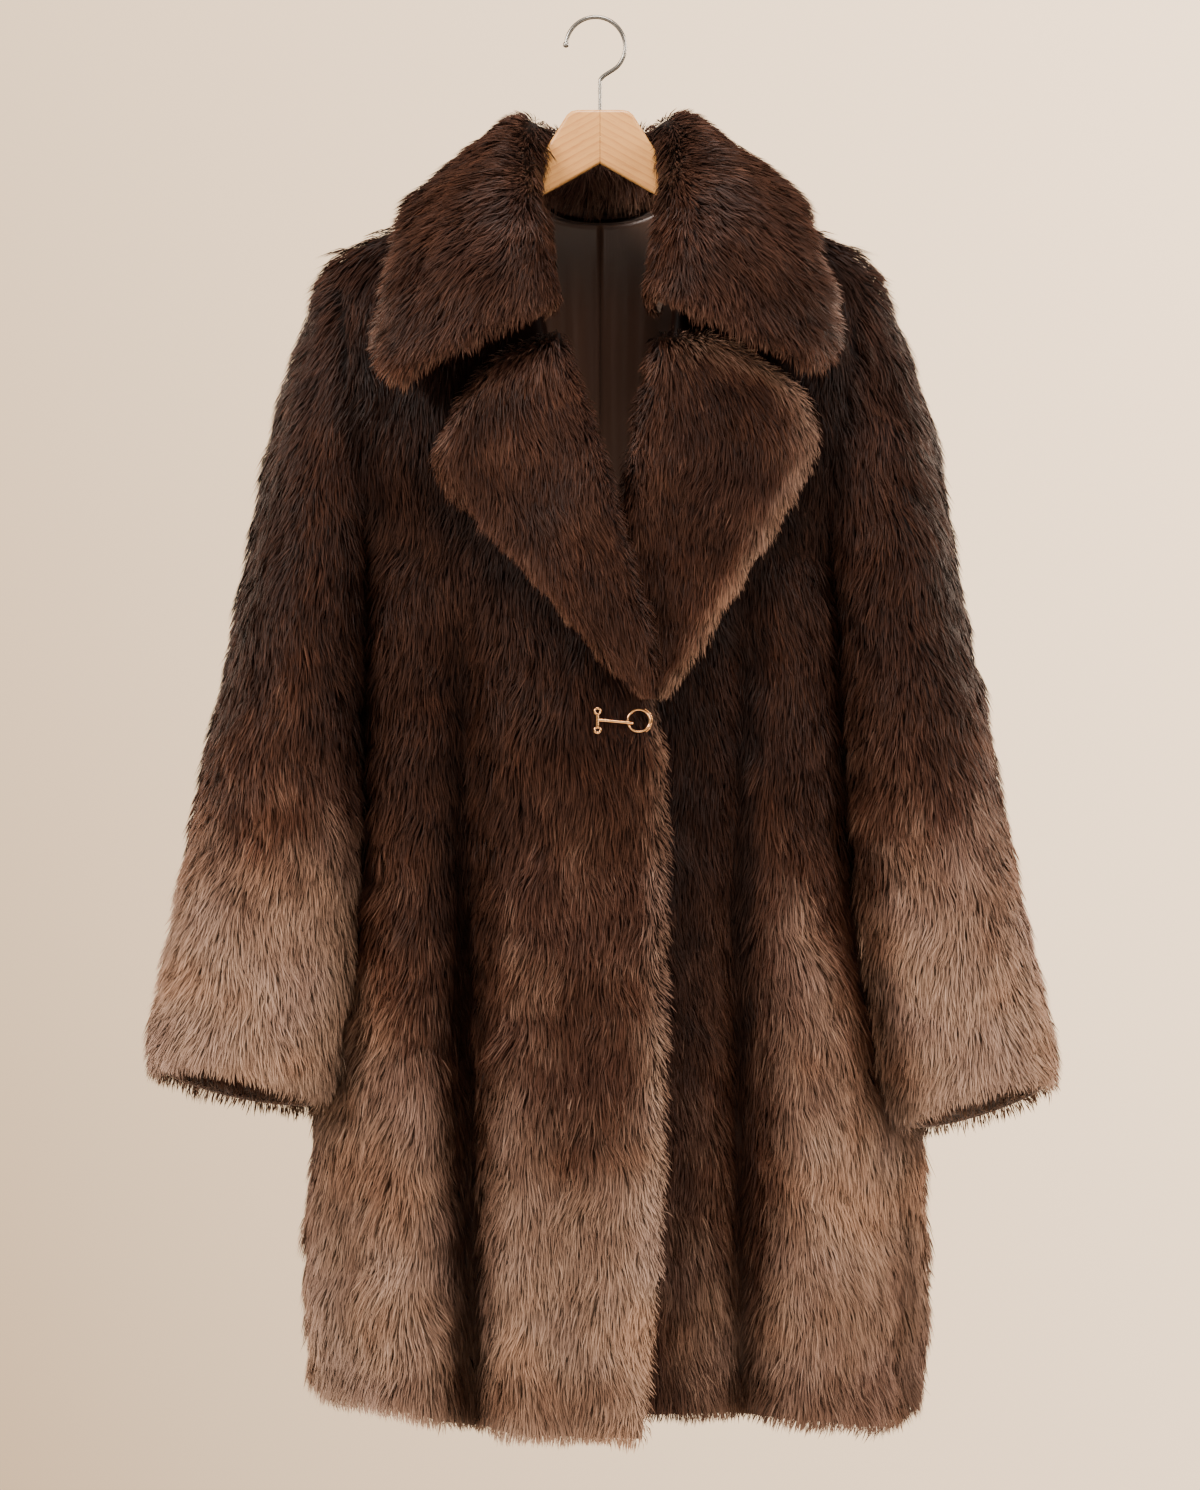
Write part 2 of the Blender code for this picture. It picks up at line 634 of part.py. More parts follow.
def make_lining(maker):
    for name, side in (("lining_right", RIGHT), ("lining_left", LEFT)):
        place = partial(lining, side)
        maker.slab(name, LINING_COLUMNS, LINING_ROWS, LINING_WALL, place, "satin", thin=True)


def arm_outline():
    """One arm from the centre out over its hump, under the shoulder to the tip, and back below."""
    outline = list(zip(ARM_HUMP["out"], ARM_HUMP["height"]))
    under = WALL + LINING_GAP + LINING_WALL + ARM_PLAY
    for out in np.linspace(ARM_TOP_FROM, ARM_TOP_TO, 4):
        outline.append((out, float(shoulder(out)) - under))
    outline += zip(ARM_TIP_AND_UNDERSIDE["out"], ARM_TIP_AND_UNDERSIDE["height"])
    return outline


def make_hanger(maker):
    """Two flat arms that meet at the centre, drilled for the hook's shaft."""
    arm_top = ARM_HUMP["height"][0]
    shaft_hole = bmesh.new()
    bmesh.ops.create_cone(
        shaft_hole,
        cap_ends=True,
        segments=16,
        radius1=HOOK_WIRE + GAP,
        radius2=HOOK_WIRE + GAP,
        depth=2 * (arm_top - HOOK_END + GAP),
    )
    hole_mesh = bpy.data.meshes.new("shaft_hole")
    shaft_hole.to_mesh(hole_mesh)
    shaft_hole.free()
    cutter = bpy.data.objects.new("shaft_hole", hole_mesh)
    cutter.location = (0, 0, arm_top)
    cutter.hide_render = True
    cutter.display_type = "WIRE"
    maker.cutters.objects.link(cutter)
    for name, side in (("hanger_arm_right", RIGHT), ("hanger_arm_left", LEFT)):
        bm = bmesh.new()
        rim = []
        for out, height in arm_outline():
            rim.append(bm.verts.new((side * (out + GAP / 2), -ARM_THICK / 2, height)))
        face = bm.faces.new(rim)
        grown = bmesh.ops.extrude_face_region(bm, geom=[face], use_keep_orig=True)
        far = [item for item in grown["geom"] if isinstance(item, bmesh.types.BMVert)]
        bmesh.ops.translate(bm, verts=far, vec=(0, ARM_THICK, 0))
        bmesh.ops.recalc_face_normals(bm, faces=bm.faces[:])
        rims = [
            edge
            for edge in bm.edges
            if abs(edge.verts[0].co.y - edge.verts[1].co.y) < 1e-6
            and max(abs(v.co.x) for v in edge.verts) > GAP
        ]
        bmesh.ops.bevel(bm, geom=rims, offset=ARM_BEVEL, affect="EDGES", segments=2, profile=0.5, material=-1)
        arm = maker.add_bmesh(name, bm, "beech")
        drill = arm.modifiers.new("shaft_hole", "BOOLEAN")
        drill.object = cutter


def hook_points():
    """The hook's middle line: its tip, three quarters of a circle, the curl back and the shaft."""
    centre_z = HOOK_WIRE - math.sqrt(HOOK_RADIUS**2 - HOOK_CENTRE_X**2)
    points = []
    for angle in np.radians(np.linspace(HOOK_TIP_ANGLE, HOOK_LEAVE_ANGLE, 26)):
        points.append((HOOK_CENTRE_X + HOOK_RADIUS * math.cos(angle), 0, centre_z + HOOK_RADIUS * math.sin(angle)))
    leave = np.array(points[-1])
    way = np.array([math.sin(math.radians(HOOK_LEAVE_ANGLE)), 0, -math.cos(math.radians(HOOK_LEAVE_ANGLE))])
    reach = 0.5 * (leave[2] - HOOK_BEND)
    end = np.array([0, 0, HOOK_BEND])
    for part in np.linspace(0.12, 1, 8):
        rest = 1 - part
        points.append(
            tuple(
                rest**3 * leave
                + 3 * rest**2 * part * (leave + way * reach)
                + 3 * rest * part**2 * (end + np.array([0, 0, reach * 0.8]))
                + part**3 * end
            )
        )
    points.append((0, 0, HOOK_END))
    return points


def make_hook(maker):
    points = hook_points()
    wire = maker.wire("hook_wire", points, HOOK_WIRE, "nickel")
    bm = bmesh.new()
    bmesh.ops.create_uvsphere(bm, u_segments=14, v_segments=9, radius=HOOK_BALL)
    bmesh.ops.translate(bm, verts=bm.verts[:], vec=points[0])
    ball = maker.add_bmesh("hook_ball", bm, "nickel")
    maker.joined("hanger_hook", [wire, ball], "nickel")


def make_clasp(maker):
    """The bar with its eyelets and rod, and the ring with its keeper, lying on the right front."""
    heights = np.linspace(CLASP_Z - RING_RADIUS - RING_WIRE, CLASP_Z + RING_RADIUS + RING_WIRE, 9)

    def seat(x):
        """The foremost place of the fur beside the clasp."""
        across = np.full(len(heights), x)
        return float(np.min(body(-1, RIGHT, across, heights, -lap(across, heights)))) + CLASP_SINK

    bar_y = seat(BAR_X) - BAR_WIRE
    bar = maker.wire(
        "bar", [(BAR_X, bar_y, CLASP_Z + s * EYELET_Z * 0.75) for s in (1, 0.3, -0.3, -1)], BAR_WIRE, "rose_gold"
    )
    turns = np.linspace(0, 2 * math.pi, 13)[:-1]
    pieces = [bar]
    for number, way in enumerate((1, -1)):
        middle = CLASP_Z + way * (EYELET_Z * 0.75 + EYELET_RADIUS + BAR_WIRE * 0.2)
        eyelet = [
            (BAR_X + EYELET_RADIUS * math.cos(a), bar_y, middle + EYELET_RADIUS * math.sin(a))
            for a in turns
        ]
        pieces.append(maker.wire(f"eyelet_{number}", eyelet, EYELET_WIRE, "rose_gold", ring=True))
    over = seat(RING_X - RING_RADIUS) - 2 * RING_WIRE - GAP - ROD_WIRE
    rod = [
        (BAR_X, bar_y, CLASP_Z + 0.0005),
        (BAR_X + 0.006, bar_y - 0.0006, CLASP_Z),
        (RING_X - RING_RADIUS - 0.005, over + 0.0004, CLASP_Z - 0.0010),
        (RING_X - RING_RADIUS, over, CLASP_Z - 0.0014),
        (ROD_END_X - 0.0012, over, CLASP_Z - 0.0018),
        (ROD_END_X, over + 0.0006, CLASP_Z - 0.0019),
    ]
    pieces.append(maker.wire("rod", rod, ROD_WIRE, "rose_gold"))
    maker.joined("clasp_bar", pieces, "rose_gold")
    turns = np.linspace(0, 2 * math.pi, 41)[:-1]

    def loop(angles, radius, wire):
        places = []
        for angle in angles:
            x = RING_X + radius * math.cos(angle)
            places.append((x, seat(x) - wire, CLASP_Z + radius * math.sin(angle)))
        return places

    maker.wire("clasp_ring", loop(turns, RING_RADIUS, RING_WIRE), RING_WIRE, "rose_gold", ring=True)
    keeper_radius = RING_RADIUS + RING_WIRE + GAP + KEEPER_WIRE
    turns = np.radians(np.linspace(KEEPER_FROM, KEEPER_TO, 20))
    maker.wire("clasp_keeper", loop(turns, keeper_radius, KEEPER_WIRE), KEEPER_WIRE, "rose_gold")


def main():
    clear_scene()
    maker = Maker()
    make_body(maker)
    make_sleeves(maker)
    make_collar_and_lapels(maker)
    make_lining(maker)
    make_hanger(maker)
    make_hook(maker)
    make_clasp(maker)


main()
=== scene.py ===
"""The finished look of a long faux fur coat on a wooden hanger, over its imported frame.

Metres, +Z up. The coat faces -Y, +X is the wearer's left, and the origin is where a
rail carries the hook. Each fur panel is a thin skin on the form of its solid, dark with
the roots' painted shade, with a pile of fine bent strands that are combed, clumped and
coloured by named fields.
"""

from __future__ import annotations

import logging
import math
from collections.abc import Callable, Sequence
from dataclasses import dataclass, field
from enum import Enum
from functools import partial
from itertools import product

import bmesh
import bpy
import numpy as np
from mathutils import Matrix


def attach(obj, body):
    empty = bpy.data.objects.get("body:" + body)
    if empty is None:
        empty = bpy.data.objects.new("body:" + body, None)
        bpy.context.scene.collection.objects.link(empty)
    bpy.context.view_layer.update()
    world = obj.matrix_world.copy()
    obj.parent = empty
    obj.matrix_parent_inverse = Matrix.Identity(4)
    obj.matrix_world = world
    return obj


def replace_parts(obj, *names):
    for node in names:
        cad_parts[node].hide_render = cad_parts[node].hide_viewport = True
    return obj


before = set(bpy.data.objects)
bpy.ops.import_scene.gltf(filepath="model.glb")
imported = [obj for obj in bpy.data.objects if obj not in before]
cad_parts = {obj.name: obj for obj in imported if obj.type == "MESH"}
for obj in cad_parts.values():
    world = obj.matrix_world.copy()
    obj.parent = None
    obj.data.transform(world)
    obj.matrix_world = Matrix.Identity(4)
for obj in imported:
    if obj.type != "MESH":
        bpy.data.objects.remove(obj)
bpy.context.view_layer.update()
log = logging.getLogger("coat")

Array = np.ndarray
Table = dict[str, Array]
Spot = tuple[float, float, float]
Place = Callable[[Array, Array, Array], Array]

# --- Sizes that the frame's solids share with the finished pieces -----------------
GAP = 0.0003  # between pieces at a seam
LAY_GAP = 0.0012  # under a lapel
WALL = 0.008  # fur cloth
COLLAR_WALL = 0.010
LAPEL_WALL = 0.012
LINING_WALL = 0.001
LINING_GAP = 0.0008
LINING_INSET = 0.0088
LINING_LOOSE = 0.0010
LINING_SHARE = 0.95  # how far down the back the lining goes
LINING_SWING_FROM, LINING_SWING_TO = -0.28, -0.60  # where it swings clear of the back's folds
LINING_SWING = 0.044
ARM_PLAY = 0.0046  # under the shoulder lining
ARM_X = 0.190  # where the shoulder seam ends
NECK_X = ARM_X / 3  # where it starts
SHOULDER_TOP = -0.0905
SHOULDER_SLOPE = 0.454
SHOULDER_ROUND = 0.030
SHOULDER_REACH = 0.200  # drop over which the cloth swings out to its full depth
BACK_NECK_DIP = 0.0400
FLATNESS = 0.8  # 1 is an ellipse in plan
TOP_BLEND = 0.12
ROW_SPREAD = 1.5  # rows lie closer together towards the shoulder
UNDERARM = -0.410
HEM = -1.070
CLASP_X, CLASP_Z = 0.016, -0.5305  # middle of the clasp

# --- Sizes of the finished look ---------------------------------------------------
SKIN_INSET = 0.0005  # from a skin's inner side to its solid's
TURNED_IN_INSET = 0.001  # from a turned-in pile's roots to it
SEAM_ALLOWANCE = 0.012  # of a sleeve's skin inside the armhole
DEEPEST_FOLD = 0.046  # in front
MEETING_PUFF = 0.0065  # of the pile beside a sleeve and along the shoulders
COLLAR_PUFF = 0.012  # where the collar turns over beside the hanger
COLLAR_DRAW = 0.0035  # how far it draws back from the opening there
RIDGE_FLOW = 1.1  # how strongly pile on the shoulders lies outwards


class Side(Enum):
    """The wearer's right and left, as the sign of X."""

    RIGHT = -1.0
    LEFT = 1.0

    @property
    def word(self) -> str:
        """The side's name in piece names."""
        return self.name.lower()


def table(columns: str, *rows: Sequence[float]) -> Table:
    """Named columns of numbers.

    Args:
        columns: The columns' names, with spaces between them.
        rows: One row of numbers for each place.

    Returns:
        Each column's numbers by its name.
    """
    return dict(zip(columns.split(), np.array(rows, float).T))


BODY = table(
    "height right left front back seam corner",
    (-0.165, 0.19, 0.19, 0.08, 0.072, 0.0, 50),
    (-0.25, 0.187, 0.184, 0.086, 0.076, 0.0, 50),
    (-0.33, 0.178, 0.175, 0.088, 0.078, 0.0, 57),
    (-0.385, 0.175, 0.172, 0.089, 0.079, 0.0, 72),
    (UNDERARM, 0.174, 0.172, 0.089, 0.08, 0.0, 90),
    (-0.56, 0.176, 0.181, 0.091, 0.083, 0.008, 90),
    (-0.65, 0.182, 0.19, 0.093, 0.086, 0.016, 90),
    (-0.71, 0.192, 0.204, 0.094, 0.088, 0.022, 90),
    (-0.77, 0.203, 0.222, 0.096, 0.09, 0.027, 90),
    (-0.83, 0.213, 0.24, 0.098, 0.092, 0.03, 90),
    (-0.95, 0.221, 0.247, 0.1, 0.095, 0.03, 90),
    (HEM, 0.216, 0.242, 0.098, 0.093, 0.028, 90),
)
FRONT_EDGES = {
    Side.RIGHT: table(
        "height out",
        (-0.122, NECK_X), (-0.16, 0.053), (-0.2, 0.044), (-0.237, 0.04), (-0.267, 0.024),
        (-0.32, 0.004), (-0.395, -0.014), (-0.47, -0.033), (-0.515, -0.041),
        (-0.575, -0.046), (-0.85, -0.046), (-0.93, -0.043), (-1.0, -0.036), (HEM, -0.031),
    ),
    Side.LEFT: table(
        "height out",
        (-0.122, NECK_X), (-0.16, 0.056), (-0.2, 0.054), (-0.237, 0.053), (-0.26, 0.043),
        (-0.305, 0.031), (-0.38, 0.019), (-0.455, 0.014), (-0.53, 0.005), (-0.6, -0.015),
        (-0.7, -0.025), (HEM, -0.025),
    ),
}
FRONT_HEMS = {
    Side.RIGHT: table(
        "across low", (0, -1.065), (0.35, -1.061), (0.55, -1.046), (0.85, -1.040), (1, -1.028)
    ),
    Side.LEFT: table(
        "across low", (0, -1.046), (0.35, -1.050), (0.75, -1.060), (0.92, -1.050), (1, -1.032)
    ),
}
BACK_HEM = table(
    "across low", (0, -1.028), (0.2, -1.048), (0.5, -1.052), (0.8, -1.050), (1, -1.032)
)
FRONT_FOLDS = table(
    "x_start x_hem start half_width trough",
    (-0.106, -0.097, -0.4, 0.02, 0.046), (-0.188, -0.192, -0.78, 0.014, 0.012),
    (-0.03, -0.022, -0.62, 0.03, 0.006), (0.074, 0.076, -0.5, 0.03, 0.012),
    (0.111, 0.112, -0.48, 0.021, 0.03), (0.228, 0.23, -0.82, 0.012, 0.018),
)
BACK_FOLDS = table(
    "x_start x_hem start half_width trough",
    (-0.15, -0.162, -0.56, 0.016, 0.022), (-0.07, -0.085, -0.38, 0.024, 0.034),
    (0.004, 0.012, -0.3, 0.02, 0.024), (0.082, 0.104, -0.42, 0.024, 0.036),
    (0.168, 0.186, -0.64, 0.014, 0.018),
)
FRONT_ROLLS = table(
    "x half_width rise start",
    (-0.15, 0.024, 0.006, -0.34), (-0.104, 0.016, -0.009, -0.4),
    (-0.055, 0.024, 0.004, -0.46), (0.04, 0.01, 0.005, -0.54), (0.082, 0.02, -0.004, -0.42),
    (0.112, 0.014, -0.011, -0.38), (0.164, 0.03, 0.008, -0.34),
)
LAP = table(
    "height lift",
    (-0.2, 0.0), (-0.26, 0.005), (-0.33, 0.015), (-0.39, 0.023), (-0.45, 0.0255),
    (-0.53, 0.025), (-0.64, 0.011), (HEM, 0.011),
)
LAP_FROM, LAP_TO = -0.105, 0.000
LAPELS = {
    Side.RIGHT: table(
        "down roll_x roll_z edge_x edge_z",
        (0.0, -0.03, -0.241, -0.074, -0.259), (0.12, -0.022, -0.266, -0.106, -0.301),
        (0.22, -0.012, -0.292, -0.121, -0.333), (0.32, -0.001, -0.324, -0.112, -0.357),
        (0.45, 0.01, -0.365, -0.08, -0.384), (0.6, 0.021, -0.41, -0.048, -0.421),
        (0.75, 0.033, -0.455, -0.014, -0.46), (0.9, 0.04, -0.492, 0.016, -0.494),
        (1.0, 0.043, -0.512, 0.032, -0.512),
    ),
    Side.LEFT: table(
        "down roll_x roll_z edge_x edge_z",
        (0.0, 0.043, -0.243, 0.08, -0.244), (0.1, 0.039, -0.262, 0.122, -0.266),
        (0.2, 0.033, -0.284, 0.154, -0.294), (0.29, 0.028, -0.307, 0.161, -0.317),
        (0.42, 0.021, -0.342, 0.146, -0.353), (0.55, 0.016, -0.38, 0.124, -0.393),
        (0.68, 0.013, -0.417, 0.097, -0.432), (0.8, 0.011, -0.452, 0.077, -0.466),
        (0.92, 0.011, -0.486, 0.058, -0.497), (1.0, 0.014, -0.51, 0.046, -0.512),
    ),
}
COLLAR = table(
    "along neck_x neck_y neck_z up_x up_y up_z out_x out_y out_z edge_x edge_y edge_z",
    (0.0, 0.0, 0.04, -0.142, 0.0, 0.04, -0.066,
     0.0, 0.104, -0.08, 0.0, 0.1, -0.222),
    (0.28, -0.044, 0.031, -0.133, -0.036, 0.034, -0.052,
     -0.06, 0.094, -0.068, -0.088, 0.092, -0.216),
    (0.5, -0.066, 0.0, -0.119, -0.048, 0.002, -0.08,
     -0.092, 0.01, -0.102, -0.141, 0.012, -0.1505),
    (0.68, -0.059, -0.036, -0.142, -0.032, -0.058, -0.112,
     -0.096, -0.088, -0.13, -0.154, -0.072, -0.208),
    (0.84, -0.046, -0.066, -0.186, -0.018, -0.108, -0.158,
     -0.09, -0.13, -0.186, -0.163, -0.088, -0.254),
    (1.0, -0.036, -0.088, -0.227, -0.018, -0.125, -0.212,
     -0.085, -0.134, -0.236, -0.148, -0.104, -0.276),
)
LEFT_COLLAR_WIDER = 1.07
LEFT_COLLAR_RAISED = 0.009
SLEEVES = {
    Side.RIGHT: table(
        "down out_x out_z in_x in_z half_depth forward",
        (0.0, -0.19, -0.1731, -0.174, -0.41, 0.06, 0.0),
        (0.05, -0.204, -0.19, -0.177, -0.418, 0.061, 0.0),
        (0.11, -0.217, -0.224, -0.178, -0.436, 0.063, 0.001),
        (0.19, -0.231, -0.268, -0.179, -0.458, 0.065, 0.003),
        (0.3, -0.248, -0.336, -0.181, -0.496, 0.067, 0.006),
        (0.43, -0.265, -0.421, -0.183, -0.548, 0.067, 0.011),
        (0.56, -0.282, -0.504, -0.185, -0.605, 0.066, 0.017),
        (0.67, -0.298, -0.575, -0.187, -0.65, 0.064, 0.023),
        (0.78, -0.313, -0.646, -0.191, -0.699, 0.062, 0.029),
        (0.88, -0.326, -0.714, -0.197, -0.751, 0.06, 0.034),
        (0.96, -0.335, -0.765, -0.202, -0.79, 0.058, 0.038),
        (1.0, -0.338, -0.79, -0.207, -0.818, 0.057, 0.04),
    ),
    Side.LEFT: table(
        "down out_x out_z in_x in_z half_depth forward",
        (0.0, 0.19, -0.1731, 0.172, -0.41, 0.06, 0.0),
        (0.05, 0.204, -0.192, 0.175, -0.418, 0.061, 0.0),
        (0.11, 0.218, -0.222, 0.177, -0.436, 0.063, 0.001),
        (0.19, 0.233, -0.263, 0.179, -0.458, 0.065, 0.003),
        (0.3, 0.25, -0.321, 0.183, -0.5, 0.067, 0.006),
        (0.43, 0.263, -0.399, 0.187, -0.548, 0.067, 0.011),
        (0.56, 0.278, -0.477, 0.191, -0.601, 0.066, 0.017),
        (0.67, 0.293, -0.552, 0.196, -0.65, 0.064, 0.023),
        (0.78, 0.308, -0.631, 0.203, -0.699, 0.062, 0.03),
        (0.88, 0.323, -0.702, 0.211, -0.754, 0.06, 0.036),
        (0.96, 0.336, -0.762, 0.219, -0.803, 0.058, 0.041),
        (1.0, 0.344, -0.8, 0.223, -0.836, 0.057, 0.043),
    ),
}
# Width, length and area of what shows of each sheet, laid flat
CUTS = {
    "front_right": (0.365, 0.990, 0.250),
    "front_left": (0.350, 0.960, 0.225),
    "back": (0.580, 0.955, 0.415),
    "sleeve_right": (0.515, 0.635, 0.183),
    "sleeve_left": (0.515, 0.645, 0.187),
    "collar": (0.825, 0.230, 0.119),
    "lapel_right": (0.125, 0.335, 0.0215),
    "lapel_left": (0.140, 0.345, 0.0265),
    "lining_right": (0.235, 0.872, 0.164),
    "lining_left": (0.258, 0.875, 0.170),
}
CUFF_SLANT = 0.012
CUFF_SLANT_FROM = 0.75
SLEEVE_GAP = 0.0009


# --- Curves -----------------------------------------------------------------------
def smooth(rows: Table, column: str, at: Array | float) -> Array:
    """Read a column on a smooth curve with no overshoot.

    Args:
        rows: The table, whose first column says where each row lies.
        column: The column to read.
        at: The places to read it at.

    Returns:
        The column's value at each place.
    """
    places = next(iter(rows.values()))
    order = np.argsort(places)
    places = places[order]
    values = rows[column][order]
    step = np.diff(places)
    slope = np.diff(values) / step
    turn = np.concatenate([slope[:1], np.zeros(len(step) - 1), slope[-1:]])
    product = slope[:-1] * slope[1:]
    total = slope[:-1] + slope[1:]
    same_way = product > 0
    turn[1:-1][same_way] = 2 * product[same_way] / total[same_way]
    at = np.clip(at, places[0], places[-1])
    spot = np.clip(np.searchsorted(places, at, side="right") - 1, 0, len(step) - 1)
    part = (at - places[spot]) / step[spot]
    rise = values[spot + 1] - values[spot]
    near = step[spot] * turn[spot]
    far = step[spot] * turn[spot + 1]
    bend = 3 * rise - 2 * near - far + part * (near + far - 2 * rise)
    return values[spot] + part * (near + part * bend)


def ease(part: Array | float) -> Array:
    """0 to 1 with soft ends."""
    part = np.clip(part, 0, 1)
    return part * part * (3 - 2 * part)


def below(z: Array, start: float, over: float, uneven: Array | float = 0.0) -> Array:
    """0 above the start and 1 this far below it, where the start may be uneven."""
    return ease((start - z + uneven) / over)


def hump(*ways: tuple[Array, Array | float, float]) -> Array:
    """1 in a middle and less round it, from place, middle and half width on each way."""
    return np.exp(-sum(((at - middle) / half) ** 2 for at, middle, half in ways))


def mix(first: Array | float, second: Array | float, share: Array | float) -> Array:
    """A share of the way from the first to the second."""
    return first + (second - first) * share


def unit(vectors: Array) -> Array:
    """The same directions with length 1."""
    return vectors / np.maximum(np.linalg.norm(vectors, axis=-1, keepdims=True), 1e-12)


@dataclass(frozen=True)
class Ripple:
    """A smooth uneven field in space, from -1 to 1 or so."""

    size: float  # how far apart its rises are, in metres
    seed: int  # which uneven field it is
    waves: int = 9  # how many waves it is the sum of

    def __call__(self, points: Array) -> Array:
        """The field's value at each point."""
        rng = np.random.default_rng(self.seed)
        ways = unit(rng.normal(size=(self.waves, 3)))
        pace = 2 * math.pi / (self.size * rng.uniform(0.7, 1.5, self.waves))
        starts = rng.uniform(0, 2 * math.pi, self.waves)
        total = np.zeros(points.shape[:-1])
        for way, speed, start in zip(ways, pace, starts):
            total += np.sin(points @ (way * speed) + start)
        return total / math.sqrt(self.waves / 2) / 1.6


# --- The coat's form, as its solids have it ---------------------------------------
def shoulder(x: Array | float) -> Array:
    """Height of the shoulder line."""
    return SHOULDER_TOP - SHOULDER_SLOPE * np.sqrt(x * x + SHOULDER_ROUND**2)


def fold_depth(folds: Table, x: Array, z: Array) -> Array:
    """How far the hanging folds run into the cloth."""
    depth = np.zeros(np.shape(x))
    for x_start, x_hem, start, half_width, trough in zip(*folds.values()):
        grown = np.clip((start - z) / (start - HEM), 0, 1)
        middle = mix(x_start, x_hem, grown)
        depth = depth + trough * ease(1.4 * grown) * hump((x, middle, half_width))
    return depth


def half_plan(side: float, z: Array, depth: Array) -> tuple[Array, Array]:
    """Half width of the body's plan, as if it had no armholes, and its armhole's angle."""
    corner = np.radians(smooth(BODY, "corner", z))
    column = "left" if side > 0 else "right"
    return smooth(BODY, column, z) / np.sin(corner) - depth, corner


def body(
    facing: int, side: float, x: Array, z: Array, depth: Array, folded: float = 1
) -> Array:
    """The body's surface at a place seen from the front.

    Args:
        facing: -1 in front and 1 behind.
        side: -1 on the right half and 1 on the left half.
        x: Sideways places.
        z: Heights.
        depth: How far inside the fur side.
        folded: The share of the back's folds to follow.

    Returns:
        The Y of each place.
    """
    half, _ = half_plan(side, z, depth)
    sine = np.clip(side * x / half, -1, 1)
    x_outer = side * sine * (half + depth)
    level = np.sqrt(1 - sine * sine) ** FLATNESS
    drop = np.clip((shoulder(x) - depth - z) / SHOULDER_REACH, 0, 1)
    swing = np.sqrt(np.sin(drop * math.pi / 2))
    seam = smooth(BODY, "seam", z)
    if facing < 0:
        reach = smooth(BODY, "front", z) - depth + seam
        trough = fold_depth(FRONT_FOLDS, x_outer, z)
    else:
        reach = smooth(BODY, "back", z) - depth - seam
        trough = fold_depth(BACK_FOLDS, x_outer, z) * folded
    return seam + facing * (reach * level * swing - trough * level + GAP / 2)


def lap(x: Array, z: Array) -> Array:
    """How far the right front lies above the body's surface."""
    return smooth(LAP, "lift", z) * ease((x - LAP_FROM) / (LAP_TO - LAP_FROM))


def panel(
    side: float,
    edge: Table | None,
    hem: Array,
    facing: int,
    across: Array,
    down: Array,
    depth: Array,
) -> tuple[Array, Array, Array]:
    """X, Z and sink of a place on a front, or on half of the back.

    Args:
        side: -1 on the right half and 1 on the left half.
        edge: The front edge, or nothing for the back, whose halves meet in the middle.
        hem: The hem's height.
        facing: -1 in front and 1 behind.
        across: 0 at the edge and 1 at the side.
        down: 0 at the shoulder and 1 at the hem.
        depth: How far inside the fur side.

    Returns:
        The sideways place, the height and how far the shoulder's cloth lies below it.
    """
    down = down**ROW_SPREAD
    x_top = mix(NECK_X if facing < 0 else 0.0, ARM_X, across)
    dip = BACK_NECK_DIP * np.clip(1 - (x_top / NECK_X) ** 2, 0, 1) if facing > 0 else 0.0
    z_top = shoulder(x_top) - dip
    z = mix(z_top, hem, down)
    half, corner = half_plan(side, z, depth)
    out = smooth(edge, "out", z) if edge else 0 * z
    start = np.arcsin(np.clip(out / half, -1, 1))
    x_round = half * np.sin(mix(start, corner, across))
    blend = ease(down / TOP_BLEND)
    return side * mix(x_top, x_round, blend), z, depth * (1 - blend)


def front(side: Side, across: Array, down: Array, depth: Array) -> Array:
    """A place on one front: across 0 at its edge and 1 at its side."""
    hem = smooth(FRONT_HEMS[side], "low", across)
    x, z, sink = panel(side.value, FRONT_EDGES[side], hem, -1, across, down, depth)
    inwards = depth - lap(x, z) if side is Side.RIGHT else depth
    return np.stack([x, body(-1, side.value, x, z - sink, inwards), z - sink], -1)


def back(across: Array, down: Array, depth: Array, folded: float = 1) -> Array:
    """A place on the back: across 0 at the right side and 1 at the left."""
    hem = smooth(BACK_HEM, "low", across)
    place = 2 * across - 1
    found = []
    for side in Side:
        x, z, sink = panel(side.value, None, hem, 1, np.abs(place), down, depth)
        found.append(np.stack([x, body(1, side.value, x, z - sink, depth, folded), z - sink], -1))
    return np.where((place < 0)[..., None], *found)


def armhole(side: Side, angle: Array) -> Array:
    """The edge of the armhole, as the sleeve's first ring meets it."""
    rows = SLEEVES[side]
    middle = (rows["out_z"][0] + rows["in_z"][0]) / 2
    z = middle + (rows["out_z"][0] - middle) * np.cos(angle)
    z_top = shoulder(ARM_X)
    share = np.clip((z - z_top) / (FRONT_HEMS[side]["low"][-1] - z_top), 0, 1)
    down = share ** (1 / ROW_SPREAD)
    one = np.ones(np.shape(angle))
    forward = front(side, one, down, 0 * one)
    behind = back((1 + side.value * one) / 2, down, 0 * one)
    return np.where((np.sin(angle) < 0)[..., None], forward, behind)


